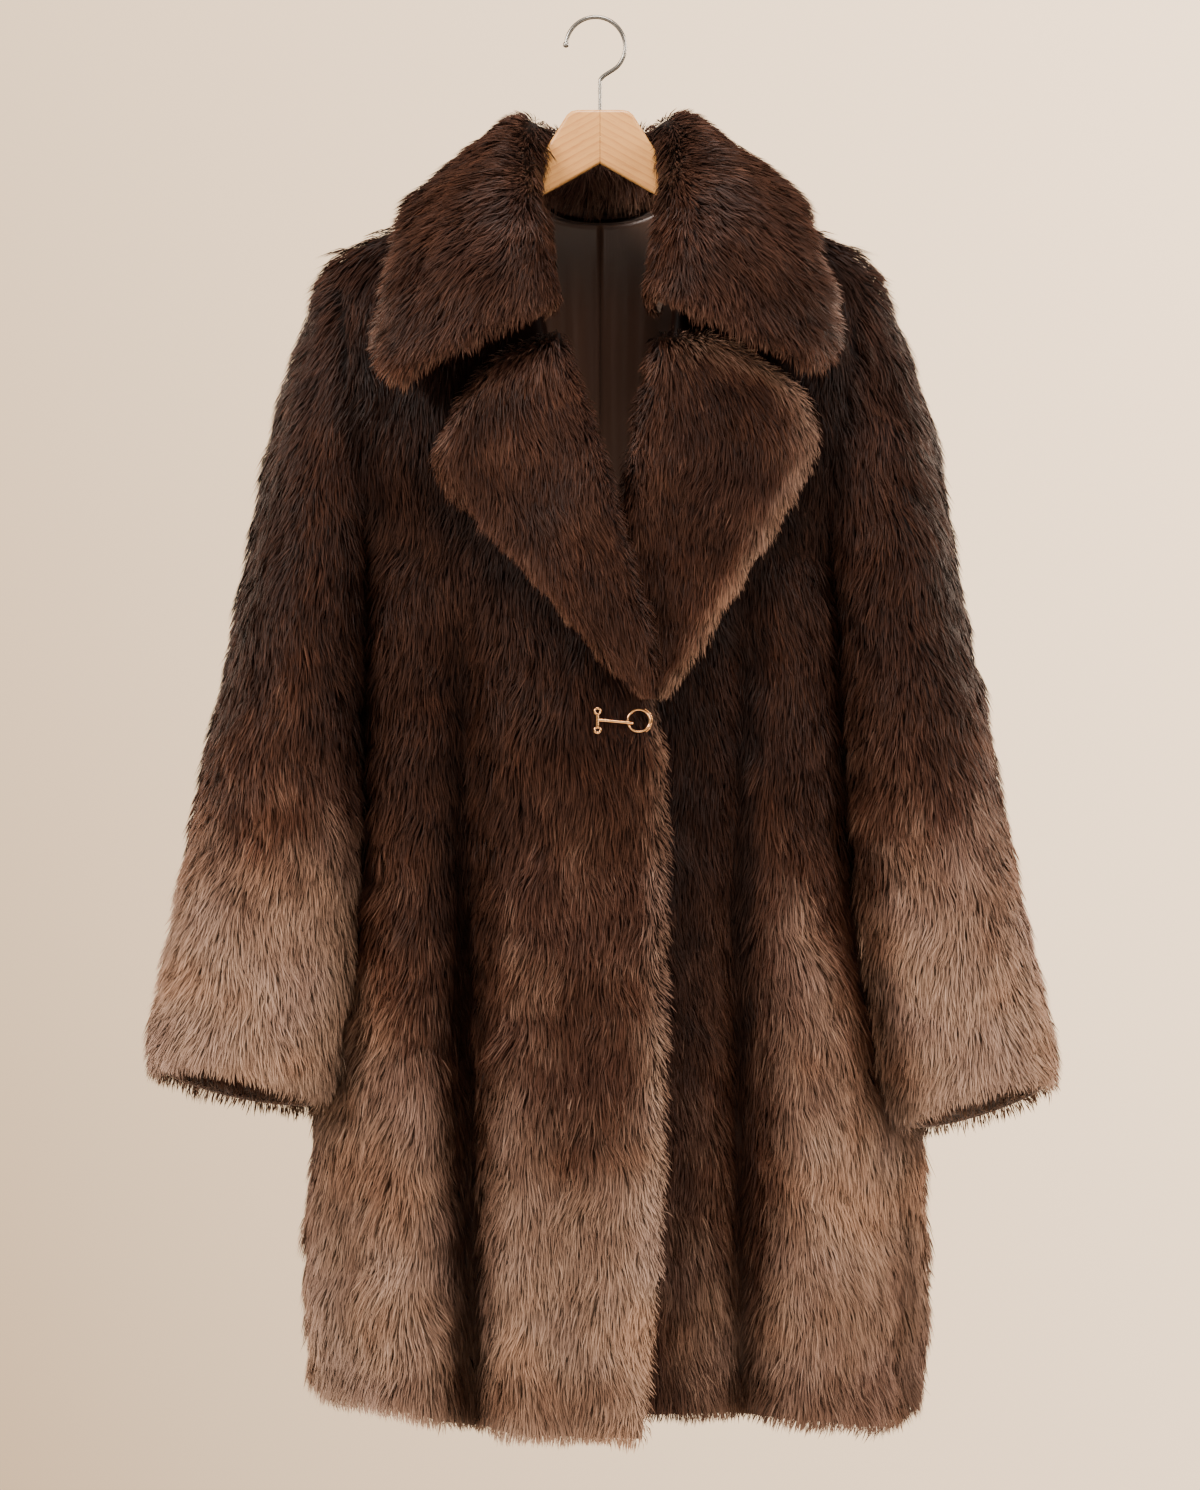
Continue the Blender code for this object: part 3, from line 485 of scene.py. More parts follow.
def sleeve(side: Side, around: Array, down: Array, depth: Array) -> Array:
    """A place on a sleeve: around 0 at its outer side, 0.25 behind and 0.75 in front."""
    rows = SLEEVES[side]
    angle = 2 * math.pi * (around % 1)

    def ring(at: Array, inwards: Array) -> Array:
        """A place on the ring at this share of the way down."""
        out, inner = (
            np.stack([smooth(rows, f"{end}_{axis}", at) for axis in "xz"], -1)
            for end in ("out", "in")
        )
        middle = (out + inner) / 2
        arm = (out - inner) / 2
        length = np.linalg.norm(arm, axis=-1)
        scale = (length - inwards) / length * np.cos(angle)
        y = (smooth(rows, "half_depth", at) - inwards) * np.sin(angle)
        y -= smooth(rows, "forward", at)
        slanted = ease((at - CUFF_SLANT_FROM) / (1 - CUFF_SLANT_FROM))
        slant = CUFF_SLANT * slanted * np.sin(angle)
        x = middle[..., 0] + arm[..., 0] * scale
        return np.stack([x, y, middle[..., 1] + arm[..., 1] * scale - slant], -1)

    first = ring(0 * down, 0 * depth)
    pull = (1 - ease(down / 0.3))[..., None]
    place = ring(down, depth) + (armhole(side, angle) - first) * pull
    place[..., 0] += side.value * SLEEVE_GAP
    return place


def collar_underside(along: Array, across: Array) -> Array:
    """The side of the collar on the body: along -1 at the right front end, 1 at the left."""
    turn = np.abs(along)
    wider = np.where(along > 0, mix(1, LEFT_COLLAR_WIDER, ease(turn)), 1)
    raised = np.where(along > 0, LEFT_COLLAR_RAISED * ease(turn), 0) * ease(3 * across)
    rest = 1 - across
    shares = (rest**3, 3 * rest**2 * across, 3 * rest * across**2, across**3)
    place = []
    for axis in "xyz":
        names = [f"{point}_{axis}" for point in ("neck", "up", "out", "edge")]
        ends = [smooth(COLLAR, name, turn) for name in names]
        place.append(sum(share * end for share, end in zip(shares, ends)))
    place[0] = -place[0] * np.sign(along) * wider
    place[2] = place[2] + raised
    return np.stack(place, -1)


def collar(across: Array, down: Array, depth: Array) -> Array:
    """A place on the collar: across from right front end to left, down from neck to edge."""
    along = 2 * across - 1
    step = 1e-3
    inner = np.clip(down - step, 0, 1)
    outer = np.clip(down + step, 0, 1)
    sideways = collar_underside(along + step, down) - collar_underside(along - step, down)
    outwards = collar_underside(along, outer) - collar_underside(along, inner)
    normal = unit(np.cross(sideways, outwards))
    return collar_underside(along, down) + normal * (COLLAR_WALL - depth)[..., None]


def lapel(side: Side, across: Array, down: Array, depth: Array) -> Array:
    """A place on a lapel, which lies on its front: across 0 at the roll and 1 at the edge."""
    rows = LAPELS[side]
    x, z = (
        mix(*(smooth(rows, f"{end}_{axis}", down) for end in ("roll", "edge")), across)
        for axis in "xz"
    )
    lift = lap(x, z) if side is Side.RIGHT else 0 * x
    y = body(-1, side.value, x, z, depth - LAPEL_WALL - LAY_GAP - lift)
    return np.stack([x, y, z], -1)


def lining_outside(side: Side, across: Array, down: Array) -> Array:
    """The side of half of the back lining that faces the back."""
    inset = LINING_INSET + LINING_LOOSE * ease(4 * across - 1)
    shape = back((1 + side.value * across) / 2, down * LINING_SHARE, inset, 0)
    fall = (LINING_SWING_FROM - shape[..., 2]) / (LINING_SWING_FROM - LINING_SWING_TO)
    shape[..., 1] -= LINING_SWING * ease(fall) * (1 - across**4)
    shape[..., 0] += side.value * GAP / 2 * (1 - across)
    return shape


def lining(side: Side, across: Array, down: Array, depth: Array) -> Array:
    """A place on half of the back lining: across 0 at the centre seam and 1 at the side."""
    step = 1e-3
    inner, outer = np.clip(across - step, 0, 1), np.clip(across + step, 0, 1)
    above, below = np.clip(down - step, 0, 1), np.clip(down + step, 0, 1)
    sideways = lining_outside(side, outer, down) - lining_outside(side, inner, down)
    downwards = lining_outside(side, across, below) - lining_outside(side, across, above)
    normal = unit(np.cross(downwards, sideways)) * side.value
    return lining_outside(side, across, down) + normal * depth[..., None]


# --- Finishes ---------------------------------------------------------------------
Colour = tuple[float, float, float]
Socket = bpy.types.NodeSocket
STRAND_MAP = "Strand"
BAKE_MAP = "OFBake"


def new_group(
    name: str, inputs: Sequence[tuple[str, str]], outputs: Sequence[tuple[str, str]]
) -> tuple[bpy.types.NodeTree, bpy.types.Node, bpy.types.Node]:
    """A shader node group with named sockets.

    Args:
        name: The group's name.
        inputs: Name and socket type of each input.
        outputs: Name and socket type of each output.

    Returns:
        The group, its input node and its output node.
    """
    group = bpy.data.node_groups.new(name, "ShaderNodeTree")
    for way, sockets in (("INPUT", inputs), ("OUTPUT", outputs)):
        for label, kind in sockets:
            group.interface.new_socket(label, in_out=way, socket_type=kind)
    return group, group.nodes.new("NodeGroupInput"), group.nodes.new("NodeGroupOutput")


class Nodes:
    """Short ways to add and join nodes in one tree."""

    def __init__(self, tree: bpy.types.NodeTree) -> None:
        """Keep the tree."""
        self.tree = tree

    def add(
        self, kind: str, settings: dict[str, object] | None = None, **sockets: object
    ) -> bpy.types.Node:
        """Add a node.

        Args:
            kind: The node's type, without ShaderNode before it.
            settings: The node's own properties.
            sockets: A value or a socket for each input, by its name with _ for a space,
                or by i and its number.

        Returns:
            The node.
        """
        node = self.tree.nodes.new(f"ShaderNode{kind}")
        for name, value in (settings or {}).items():
            setattr(node, name, value)
        for name, value in sockets.items():
            numbered = name[0] == "i" and name[1:].isdigit()
            key = int(name[1:]) if numbered else name.replace("_", " ")
            self.give(node.inputs[key], value)
        return node

    def give(self, socket: Socket, value: object) -> None:
        """Link a socket to it, or set it as a value."""
        if isinstance(value, bpy.types.NodeSocket):
            self.tree.links.new(value, socket)
        elif socket.type == "RGBA":
            socket.default_value = (*value, 1)
        else:
            socket.default_value = value

    def place(self) -> Socket:
        """Where a point lies on its piece."""
        return self.add("TexCoord").outputs["Object"]

    def maths(self, operation: str, first: object, second: object = 0.0) -> Socket:
        """A Math node's value."""
        return self.add("Math", {"operation": operation}, i0=first, i1=second).outputs[0]

    def spread(self, value: object, low: float, high: float, most: float = 1.0) -> Socket:
        """0 where a value is low, and the most where it is high."""
        node = self.add("MapRange", Value=value, From_Min=low, From_Max=high, To_Max=most)
        return node.outputs[0]

    def noise(self, place: Socket, scale: float, **settings: float) -> Socket:
        """Cloudy numbers round 0.5."""
        return self.add("TexNoise", Vector=place, Scale=scale, **settings).outputs["Fac"]

    def bands(
        self, way: str, place: Socket, scale: float, profile: str = "SIN", **settings: float
    ) -> Socket:
        """Wavy bands that follow each other along X, Y or Z."""
        look = {"bands_direction": way, "wave_profile": profile}
        return self.add("TexWave", look, Vector=place, Scale=scale, **settings).outputs["Fac"]

    def blend(self, share: object, first: object, second: object, way: str = "MIX") -> Socket:
        """Two colours mixed."""
        node = self.add("Mix", {"data_type": "RGBA", "blend_type": way})
        for place, value in ((0, share), (6, first), (7, second)):
            self.give(node.inputs[place], value)
        return node.outputs[2]

    def ramp(self, value: object, stops: Sequence[tuple[float, Colour]]) -> Socket:
        """A colour ramp with these stops."""
        node = self.add("ValToRGB", Fac=value)
        points = node.color_ramp.elements
        while len(points) < len(stops):
            points.new(0.5)
        for point, (place, colour) in zip(points, stops):
            point.position = place
            point.color = (*colour, 1)
        return node.outputs["Color"]


class Finish:
    """A material with a Principled shader, and short ways to dress it."""

    def __init__(self, name: str, **values: object) -> None:
        """Make the material.

        Args:
            name: The material's name.
            values: The shader's own values, by socket name with _ for a space.
        """
        self.material = bpy.data.materials.new(name)
        self.material.use_nodes = True
        self.nodes = Nodes(self.material.node_tree)
        for key, value in values.items():
            self.feed(key.replace("_", " "), value)

    def feed(self, socket: str, value: object) -> None:
        """Give one of the shader's sockets a value or a link."""
        shader = self.material.node_tree.nodes["Principled BSDF"]
        self.nodes.give(shader.inputs[socket], value)

    def bump(self, height: Socket, strength: float, distance: float) -> None:
        """Let these heights show in the light."""
        node = self.nodes.add("Bump", Height=height, Strength=strength, Distance=distance)
        self.feed("Normal", node.outputs["Normal"])


@dataclass(frozen=True)
class FurFinish:
    """Deep pile that fades from dark brown to straw along its tone."""

    name: str = "fur_pile"  # the material's name
    dark: Colour = (0.0125, 0.0043, 0.0023)  # colour of the deepest brown
    umber: Colour = (0.042, 0.0165, 0.0092)  # colour of the brown just above the fade
    taupe: Colour = (0.135, 0.074, 0.048)  # colour in the fade
    straw: Colour = (0.270, 0.168, 0.114)  # colour of the palest fur
    tip: Colour = (0.30, 0.150, 0.095)  # the colour that all tips lean to, partly painted light shining through them
    tip_share: float = 0.040  # how far they do
    tip_light: float = 1.60  # how much paler a strand's tip is, partly painted light shining through it
    root_shade_dark: float = 0.22  # how much of the colour a dark strand's root keeps: painted shade deep in the pile
    root_shade_pale: float = 0.52  # how much of it a pale strand's root keeps: painted shade deep in the pile
    cloud: float = 13.0  # how many cooler and warmer patches there are in a metre
    cool: Colour = (0.97, 0.98, 1.06)  # what the cooler patches, a painted bluish sheen, do to the colour
    warm: Colour = (1.08, 0.99, 0.92)  # what the warmer patches do to it

    def make(self) -> bpy.types.Material:
        """The material, which reads each strand's length and tone from its map."""
        finish = Finish(
            self.name,
            Roughness=0.45,
            Specular_IOR_Level=0.06,
            Sheen_Weight=0.015,
            Sheen_Roughness=0.4,
            Sheen_Tint=(1.0, 0.82, 0.68),
        )
        nodes = finish.nodes
        strand = nodes.add("UVMap", {"uv_map": STRAND_MAP}).outputs["UV"]
        group = {"node_tree": self.colours()}
        colours = nodes.add("Group", group, Strand=strand, Place=nodes.place())
        finish.feed("Base Color", colours.outputs["Color"])
        return finish.material

    def colours(self) -> bpy.types.NodeTree:
        """The group that turns a place along a strand and a tone into a colour, with painted shade
        at the roots and partly painted light at the tips.
        """
        group, given, out = new_group(
            "pile_colours",
            [("Strand", "NodeSocketVector"), ("Place", "NodeSocketVector")],
            [("Color", "NodeSocketColor")],
        )
        nodes = Nodes(group)
        parts = nodes.add("SeparateXYZ", Vector=given.outputs["Strand"]).outputs
        along, tone = parts["X"], parts["Y"]
        fade = ((0.0, self.dark), (0.30, self.umber), (0.62, self.taupe), (1.0, self.straw))
        usual = nodes.ramp(tone, fade)
        # Paler, redder tips: partly the fur's own colour, partly painted light shining through the
        # tips
        tips = nodes.blend(1.0, usual, (self.tip_light,) * 3, "MULTIPLY")
        tips = nodes.blend(self.tip_share, tips, self.tip)
        # Painted shade: the roots are darkened as if the strands above shaded them
        kept = nodes.ramp(tone, ((0.2, (self.root_shade_dark,) * 3), (1.0, (self.root_shade_pale,) * 3)))
        roots = nodes.blend(1.0, usual, kept, "MULTIPLY")
        lower, upper = nodes.spread(along, 0.0, 0.6), nodes.spread(along, 0.5, 1.0)
        colour = nodes.blend(upper, nodes.blend(lower, roots, usual), tips)
        cloud = nodes.noise(given.outputs["Place"], self.cloud, Detail=2.0)
        # The cooler patches are a painted bluish sheen; the warmer ones vary the fur's own tone
        for patch, edge in ((self.cool, 0.66), (self.warm, 0.32)):
            share = nodes.spread(cloud, 0.48, edge)
            colour = nodes.blend(share, colour, nodes.blend(1.0, colour, patch, "MULTIPLY"))
        nodes.give(out.inputs["Color"], colour)
        return group


@dataclass(frozen=True)
class BackingFinish:
    """The knitted back of the fur cloth."""

    name: str = "knitted_backing"  # the material's name
    colour: Colour = (0.050, 0.030, 0.022)  # its colour
    raised: float = 1.7  # how much paler its raised stitches are
    stitch: float = 0.0022  # how far apart its stitches are, in metres

    def make(self) -> bpy.types.Material:
        """The material, with small rows of stitches."""
        finish = Finish(self.name, Roughness=0.85)
        nodes = finish.nodes
        rows = nodes.bands("Z", nodes.place(), 1 / self.stitch / 6, Distortion=1.5)
        paler = tuple(self.raised * part for part in self.colour)
        finish.feed("Base Color", nodes.blend(rows, self.colour, paler))
        finish.bump(rows, 0.4, 0.0004)
        return finish.material


@dataclass(frozen=True)
class SatinFinish:
    """Smooth lining satin."""

    name: str = "lining_satin"  # the material's name
    cool: Colour = (0.092, 0.050, 0.042)  # its colour where the light falls cool
    warm: Colour = (0.084, 0.042, 0.023)  # its colour where the light falls warm
    dim_from: float = -0.22  # height where it starts to lie deep in the neck's shade
    dim_to: float = -0.36  # height where it lies in it wholly
    dim: float = 0.6  # how far it dims there
    dim_light: float = 0.3  # how much of its warm colour is left there
    thread: float = 0.0006  # how far apart its threads are, in metres

    def make(self) -> bpy.types.Material:
        """The material, with fine threads, soft cloudy colour and painted shade deep in the neck.
        """
        finish = Finish(
            self.name, Roughness=0.40, Specular_IOR_Level=0.36, Anisotropic=0.4, Sheen_Weight=0.03
        )
        nodes = finish.nodes
        place = nodes.place()
        colour = nodes.blend(nodes.noise(place, 7.0, Detail=3.0), self.cool, self.warm)
        height = nodes.add("SeparateXYZ", Vector=place).outputs["Z"]
        lower = nodes.spread(height, self.dim_from, self.dim_to, self.dim)
        dark = tuple(self.dim_light * part for part in self.warm)
        finish.feed("Base Color", nodes.blend(lower, colour, dark))
        finish.bump(nodes.bands("X", place, 1 / self.thread / 6, Distortion=0.6), 0.12, 0.0002)
        return finish.material


@dataclass(frozen=True)
class BeechFinish:
    """Pale lacquered wood whose grain runs along each arm of the hanger."""

    name: str = "hanger_beech"  # the material's name
    pale: Colour = (0.475, 0.222, 0.060)  # colour between the grain lines
    grain: Colour = (0.290, 0.100, 0.024)  # colour of the grain lines
    slope: float = 29.0  # how far the grain runs down from level, in degrees
    ring: float = 0.0027  # how far apart the broad rings are, in metres
    stretch: float = 0.10  # how much the grain is drawn out along the arm
    apart: float = 0.37  # how far the grain of one arm lies from the other's

    def grain_place(self, nodes: Nodes) -> Socket:
        """Where a point lies in the grain: drawn out along the arm, mirrored at the centre."""
        parts = nodes.add("SeparateXYZ", Vector=nodes.place()).outputs
        out = nodes.maths("ABSOLUTE", parts["X"])
        cosine, sine = math.cos(math.radians(self.slope)), math.sin(math.radians(self.slope))
        along = nodes.maths(
            "SUBTRACT",
            nodes.maths("MULTIPLY", out, cosine),
            nodes.maths("MULTIPLY", parts["Z"], sine),
        )
        across = nodes.maths(
            "ADD", nodes.maths("MULTIPLY", out, sine), nodes.maths("MULTIPLY", parts["Z"], cosine)
        )
        side = nodes.maths("MULTIPLY", nodes.maths("SIGN", parts["X"]), self.apart)
        along = nodes.maths("MULTIPLY", along, self.stretch)
        flat = nodes.add("CombineXYZ", X=along, Y=across, Z=side).outputs[0]
        depth = nodes.add("CombineXYZ", Z=parts["Y"]).outputs[0]
        return nodes.add("VectorMath", {"operation": "ADD"}, i0=flat, i1=depth).outputs[0]

    def make(self) -> bpy.types.Material:
        """The material, with rings, fine lines and small flecks."""
        finish = Finish(
            self.name,
            Roughness=0.42,
            Specular_IOR_Level=0.45,
            Coat_Weight=0.12,
            Coat_Roughness=0.3,
        )
        nodes = finish.nodes
        place = self.grain_place(nodes)
        rings = nodes.bands(
            "Y", place, 1 / self.ring / 6.3, "SAW", Distortion=2.2, Detail=3.0, Detail_Scale=0.8
        )
        lines = nodes.noise(place, 900.0, Detail=4.0, Roughness=0.7)
        cloud = nodes.maths("SUBTRACT", nodes.noise(place, 60.0, Detail=2.0), 0.5)
        share = nodes.maths("MULTIPLY", nodes.maths("POWER", rings, 3.0), 0.55)
        share = nodes.maths("ADD", share, nodes.spread(lines, 0.5, 0.75, 0.5))
        share = nodes.maths("ADD", share, nodes.maths("MULTIPLY", cloud, 0.5))
        share = nodes.add("Clamp", Value=share).outputs[0]
        finish.feed("Base Color", nodes.blend(share, self.pale, self.grain))
        finish.bump(lines, 0.10, 0.0003)
        return finish.material


@dataclass(frozen=True)
class MetalFinish:
    """Bare metal with fine drawn lines."""

    name: str  # the material's name
    colour: Colour  # the metal's colour
    worn: Colour  # its colour where it is rubbed
    rough: float  # how rough it is
    grain: float  # size of its fine marks, in metres

    def make(self) -> bpy.types.Material:
        """The material, with cloudy wear and fine marks."""
        finish = Finish(self.name, Metallic=1.0, Roughness=self.rough)
        nodes = finish.nodes
        place = nodes.place()
        cloud = nodes.noise(place, 90.0, Detail=3.0)
        marks = nodes.noise(place, 1 / self.grain, Detail=2.0)
        finish.feed("Base Color", nodes.blend(cloud, self.colour, self.worn))
        rough = nodes.add(
            "MapRange", Value=marks, To_Min=self.rough * 0.7, To_Max=self.rough * 1.4
        )
        finish.feed("Roughness", rough.outputs[0])
        finish.bump(marks, 0.08, 0.0001)
        return finish.material


@dataclass(frozen=True)
class Finishes:
    """Every material of the coat and its hanger, each made once."""

    fur: bpy.types.Material
    backing: bpy.types.Material
    satin: bpy.types.Material
    beech: bpy.types.Material
    nickel: bpy.types.Material
    rose_gold: bpy.types.Material

    @classmethod
    def make(cls) -> Finishes:
        """Make them all."""
        kinds = (
            FurFinish(),
            BackingFinish(),
            SatinFinish(),
            BeechFinish(),
            MetalFinish("hook_nickel", (0.17, 0.150, 0.128), (0.26, 0.235, 0.205), 0.30, 0.0006),
            MetalFinish("clasp_rose_gold", (0.52, 0.24, 0.090), (0.66, 0.35, 0.155), 0.24, 0.0004),
        )
        return cls(*(kind.make() for kind in kinds))


# --- Meshes and pieces ------------------------------------------------------------
def extrude(
    bm: bmesh.types.BMesh, faces: Sequence[bmesh.types.BMFace], way: Sequence[float]
) -> list[bmesh.types.BMFace]:
    """Join faces to a moved copy of themselves.

    Args:
        bm: The bmesh that they are in.
        faces: The faces.
        way: How far the copy is moved.

    Returns:
        The new faces.
    """
    found = bmesh.ops.extrude_face_region(bm, geom=list(faces), use_keep_orig=True)["geom"]
    moved = [item for item in found if isinstance(item, bmesh.types.BMVert)]
    bmesh.ops.translate(bm, verts=moved, vec=way)
    return [item for item in found if isinstance(item, bmesh.types.BMFace)]


def grid(columns: int, rows: int) -> bmesh.types.BMesh:
    """A flat grid, 1 wide and 1 high."""
    bm = bmesh.new()
    bmesh.ops.create_grid(bm, x_segments=columns, y_segments=rows, size=0.5)
    return bm


def move_to(bm: bmesh.types.BMesh, places: Array) -> None:
    """Move each vertex to its place."""
    for vertex, place in zip(bm.verts, places):
        vertex.co = place


def new_mesh(name: str, bm: bmesh.types.BMesh) -> bpy.types.Mesh:
    """A smooth mesh of a bmesh, which is freed."""
    mesh = bpy.data.meshes.new(name)
    bm.to_mesh(mesh)
    bm.free()
    mesh.shade_smooth()
    return mesh


def put(name: str, data: bpy.types.ID) -> bpy.types.Object:
    """A new object in the scene."""
    thing = bpy.data.objects.new(name, data)
    bpy.context.scene.collection.objects.link(thing)
    return thing


def new_piece(
    data: bpy.types.Mesh | bpy.types.Curve, slot: str, *materials: bpy.types.Material
) -> bpy.types.Object:
    """A piece that moves with the coat, with the name of its mesh.

    Args:
        data: Its mesh or curve, in place.
        slot: Not used.
        materials: Its materials in order.

    Returns:
        The piece.
    """
    for material in materials:
        data.materials.append(material)
    piece = put(data.name, data)
    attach(piece, "root")
    return piece


def write_map(mesh: bpy.types.Mesh, name: str, corners: Array) -> None:
    """Give a mesh a map with a place for each corner."""
    layer = mesh.uv_layers.new(name=name)
    layer.uv.foreach_set("vector", corners.astype(np.float32).ravel())


# --- Fur panels -------------------------------------------------------------------
Field = Callable[[Array], Array]


@dataclass(frozen=True)
class Pile:
    """How a panel's strands stand."""

    length: float = 0.021  # a strand's usual length
    width: float = 0.0009  # its width at its middle
    height: float = 0.0090  # how far its tip stands off the skin
    root: float = 0.0045  # how far inside the solid's fur side the skin lies
    lock: float = 0.0075  # width of a lock of strands
    gather: float = 0.24  # how far a strand's tip is drawn to its lock's middle
    lean: float = 0.75  # how far strands lean the way that a fold's flank faces
    comb: float = 0.0  # how strongly they are combed towards the panel's far edge
    stray: float = 0.20  # spread of their directions, in radians


# What the strands of all panels have in common
LENGTHS = (0.72, 1.18)  # least and most of the usual length
WIDTHS = (0.6, 1.4)
GATHERS = (0.6, 1.2)
BEND_ALONG, BEND_HIGH = 0.48, 0.68  # shares of the length and of the tip's height
DROOP = 0.06  # share of the length
ROLL = 0.55  # radians
EDGE_NEAR, EDGE_SHORT = 0.014, 0.60  # so near a free edge they are so much shorter
TIP_OUT = 0.003  # how far turned-in ones may reach past the edge
TONES = 0.048  # spread of their own tones
GUARD_SHARE, GUARD_LIGHT = 0.10, 0.15  # of guard hairs, and how much paler they are
SIDE_TONE = 0.004  # half the step from side to side, which gives the map its width
LOCK_TALL = 1.7
ROOT_TRIES = 2.2
# Where a skin reads the strand map: near the roots, so that it takes their painted shade
SKIN_TONE_PLACE = 0.10


@dataclass(frozen=True)
class Edges:
    """Which edges of a panel are free and turn under, with the turn's size."""

    start: bool = False  # whether the edge at across 0 is free
    end: bool = False  # whether the edge at across 1 is free
    bottom: bool = True  # whether the edge at down 1 is free
    top: bool = False  # whether the edge at down 0 is free
    reach: float = 0.014  # how far in from the edge the turn starts
    turn: float = 0.006  # how far the edge sinks
    fan: float = 0.5  # how far strands fan outwards over a free side edge


@dataclass
class Ground:
    """Places on a panel, with the directions there, and more where strands stand on them."""

    across: Array  # places across the panel
    down: Array  # places down it
    spot: Array  # where they are
    wide: Array  # the step across for the whole panel
    tall: Array  # the step down for the whole panel
    normal: Array  # the way out of its fur side
    turned_in: Array | None = None  # whether a strand is on the cloth turned in at the bottom
    toward: Array | None = None  # the way to the middle of its lock
    own: Array | None = None  # the lock's random numbers


def dot(vectors: Array, way: Array) -> Array:
    """How far vectors go this way."""
    return np.sum(vectors * way, -1, keepdims=True)


def everywhere(points: Array) -> Array:
    """1 at each point."""
    return np.ones(points.shape[:-1])


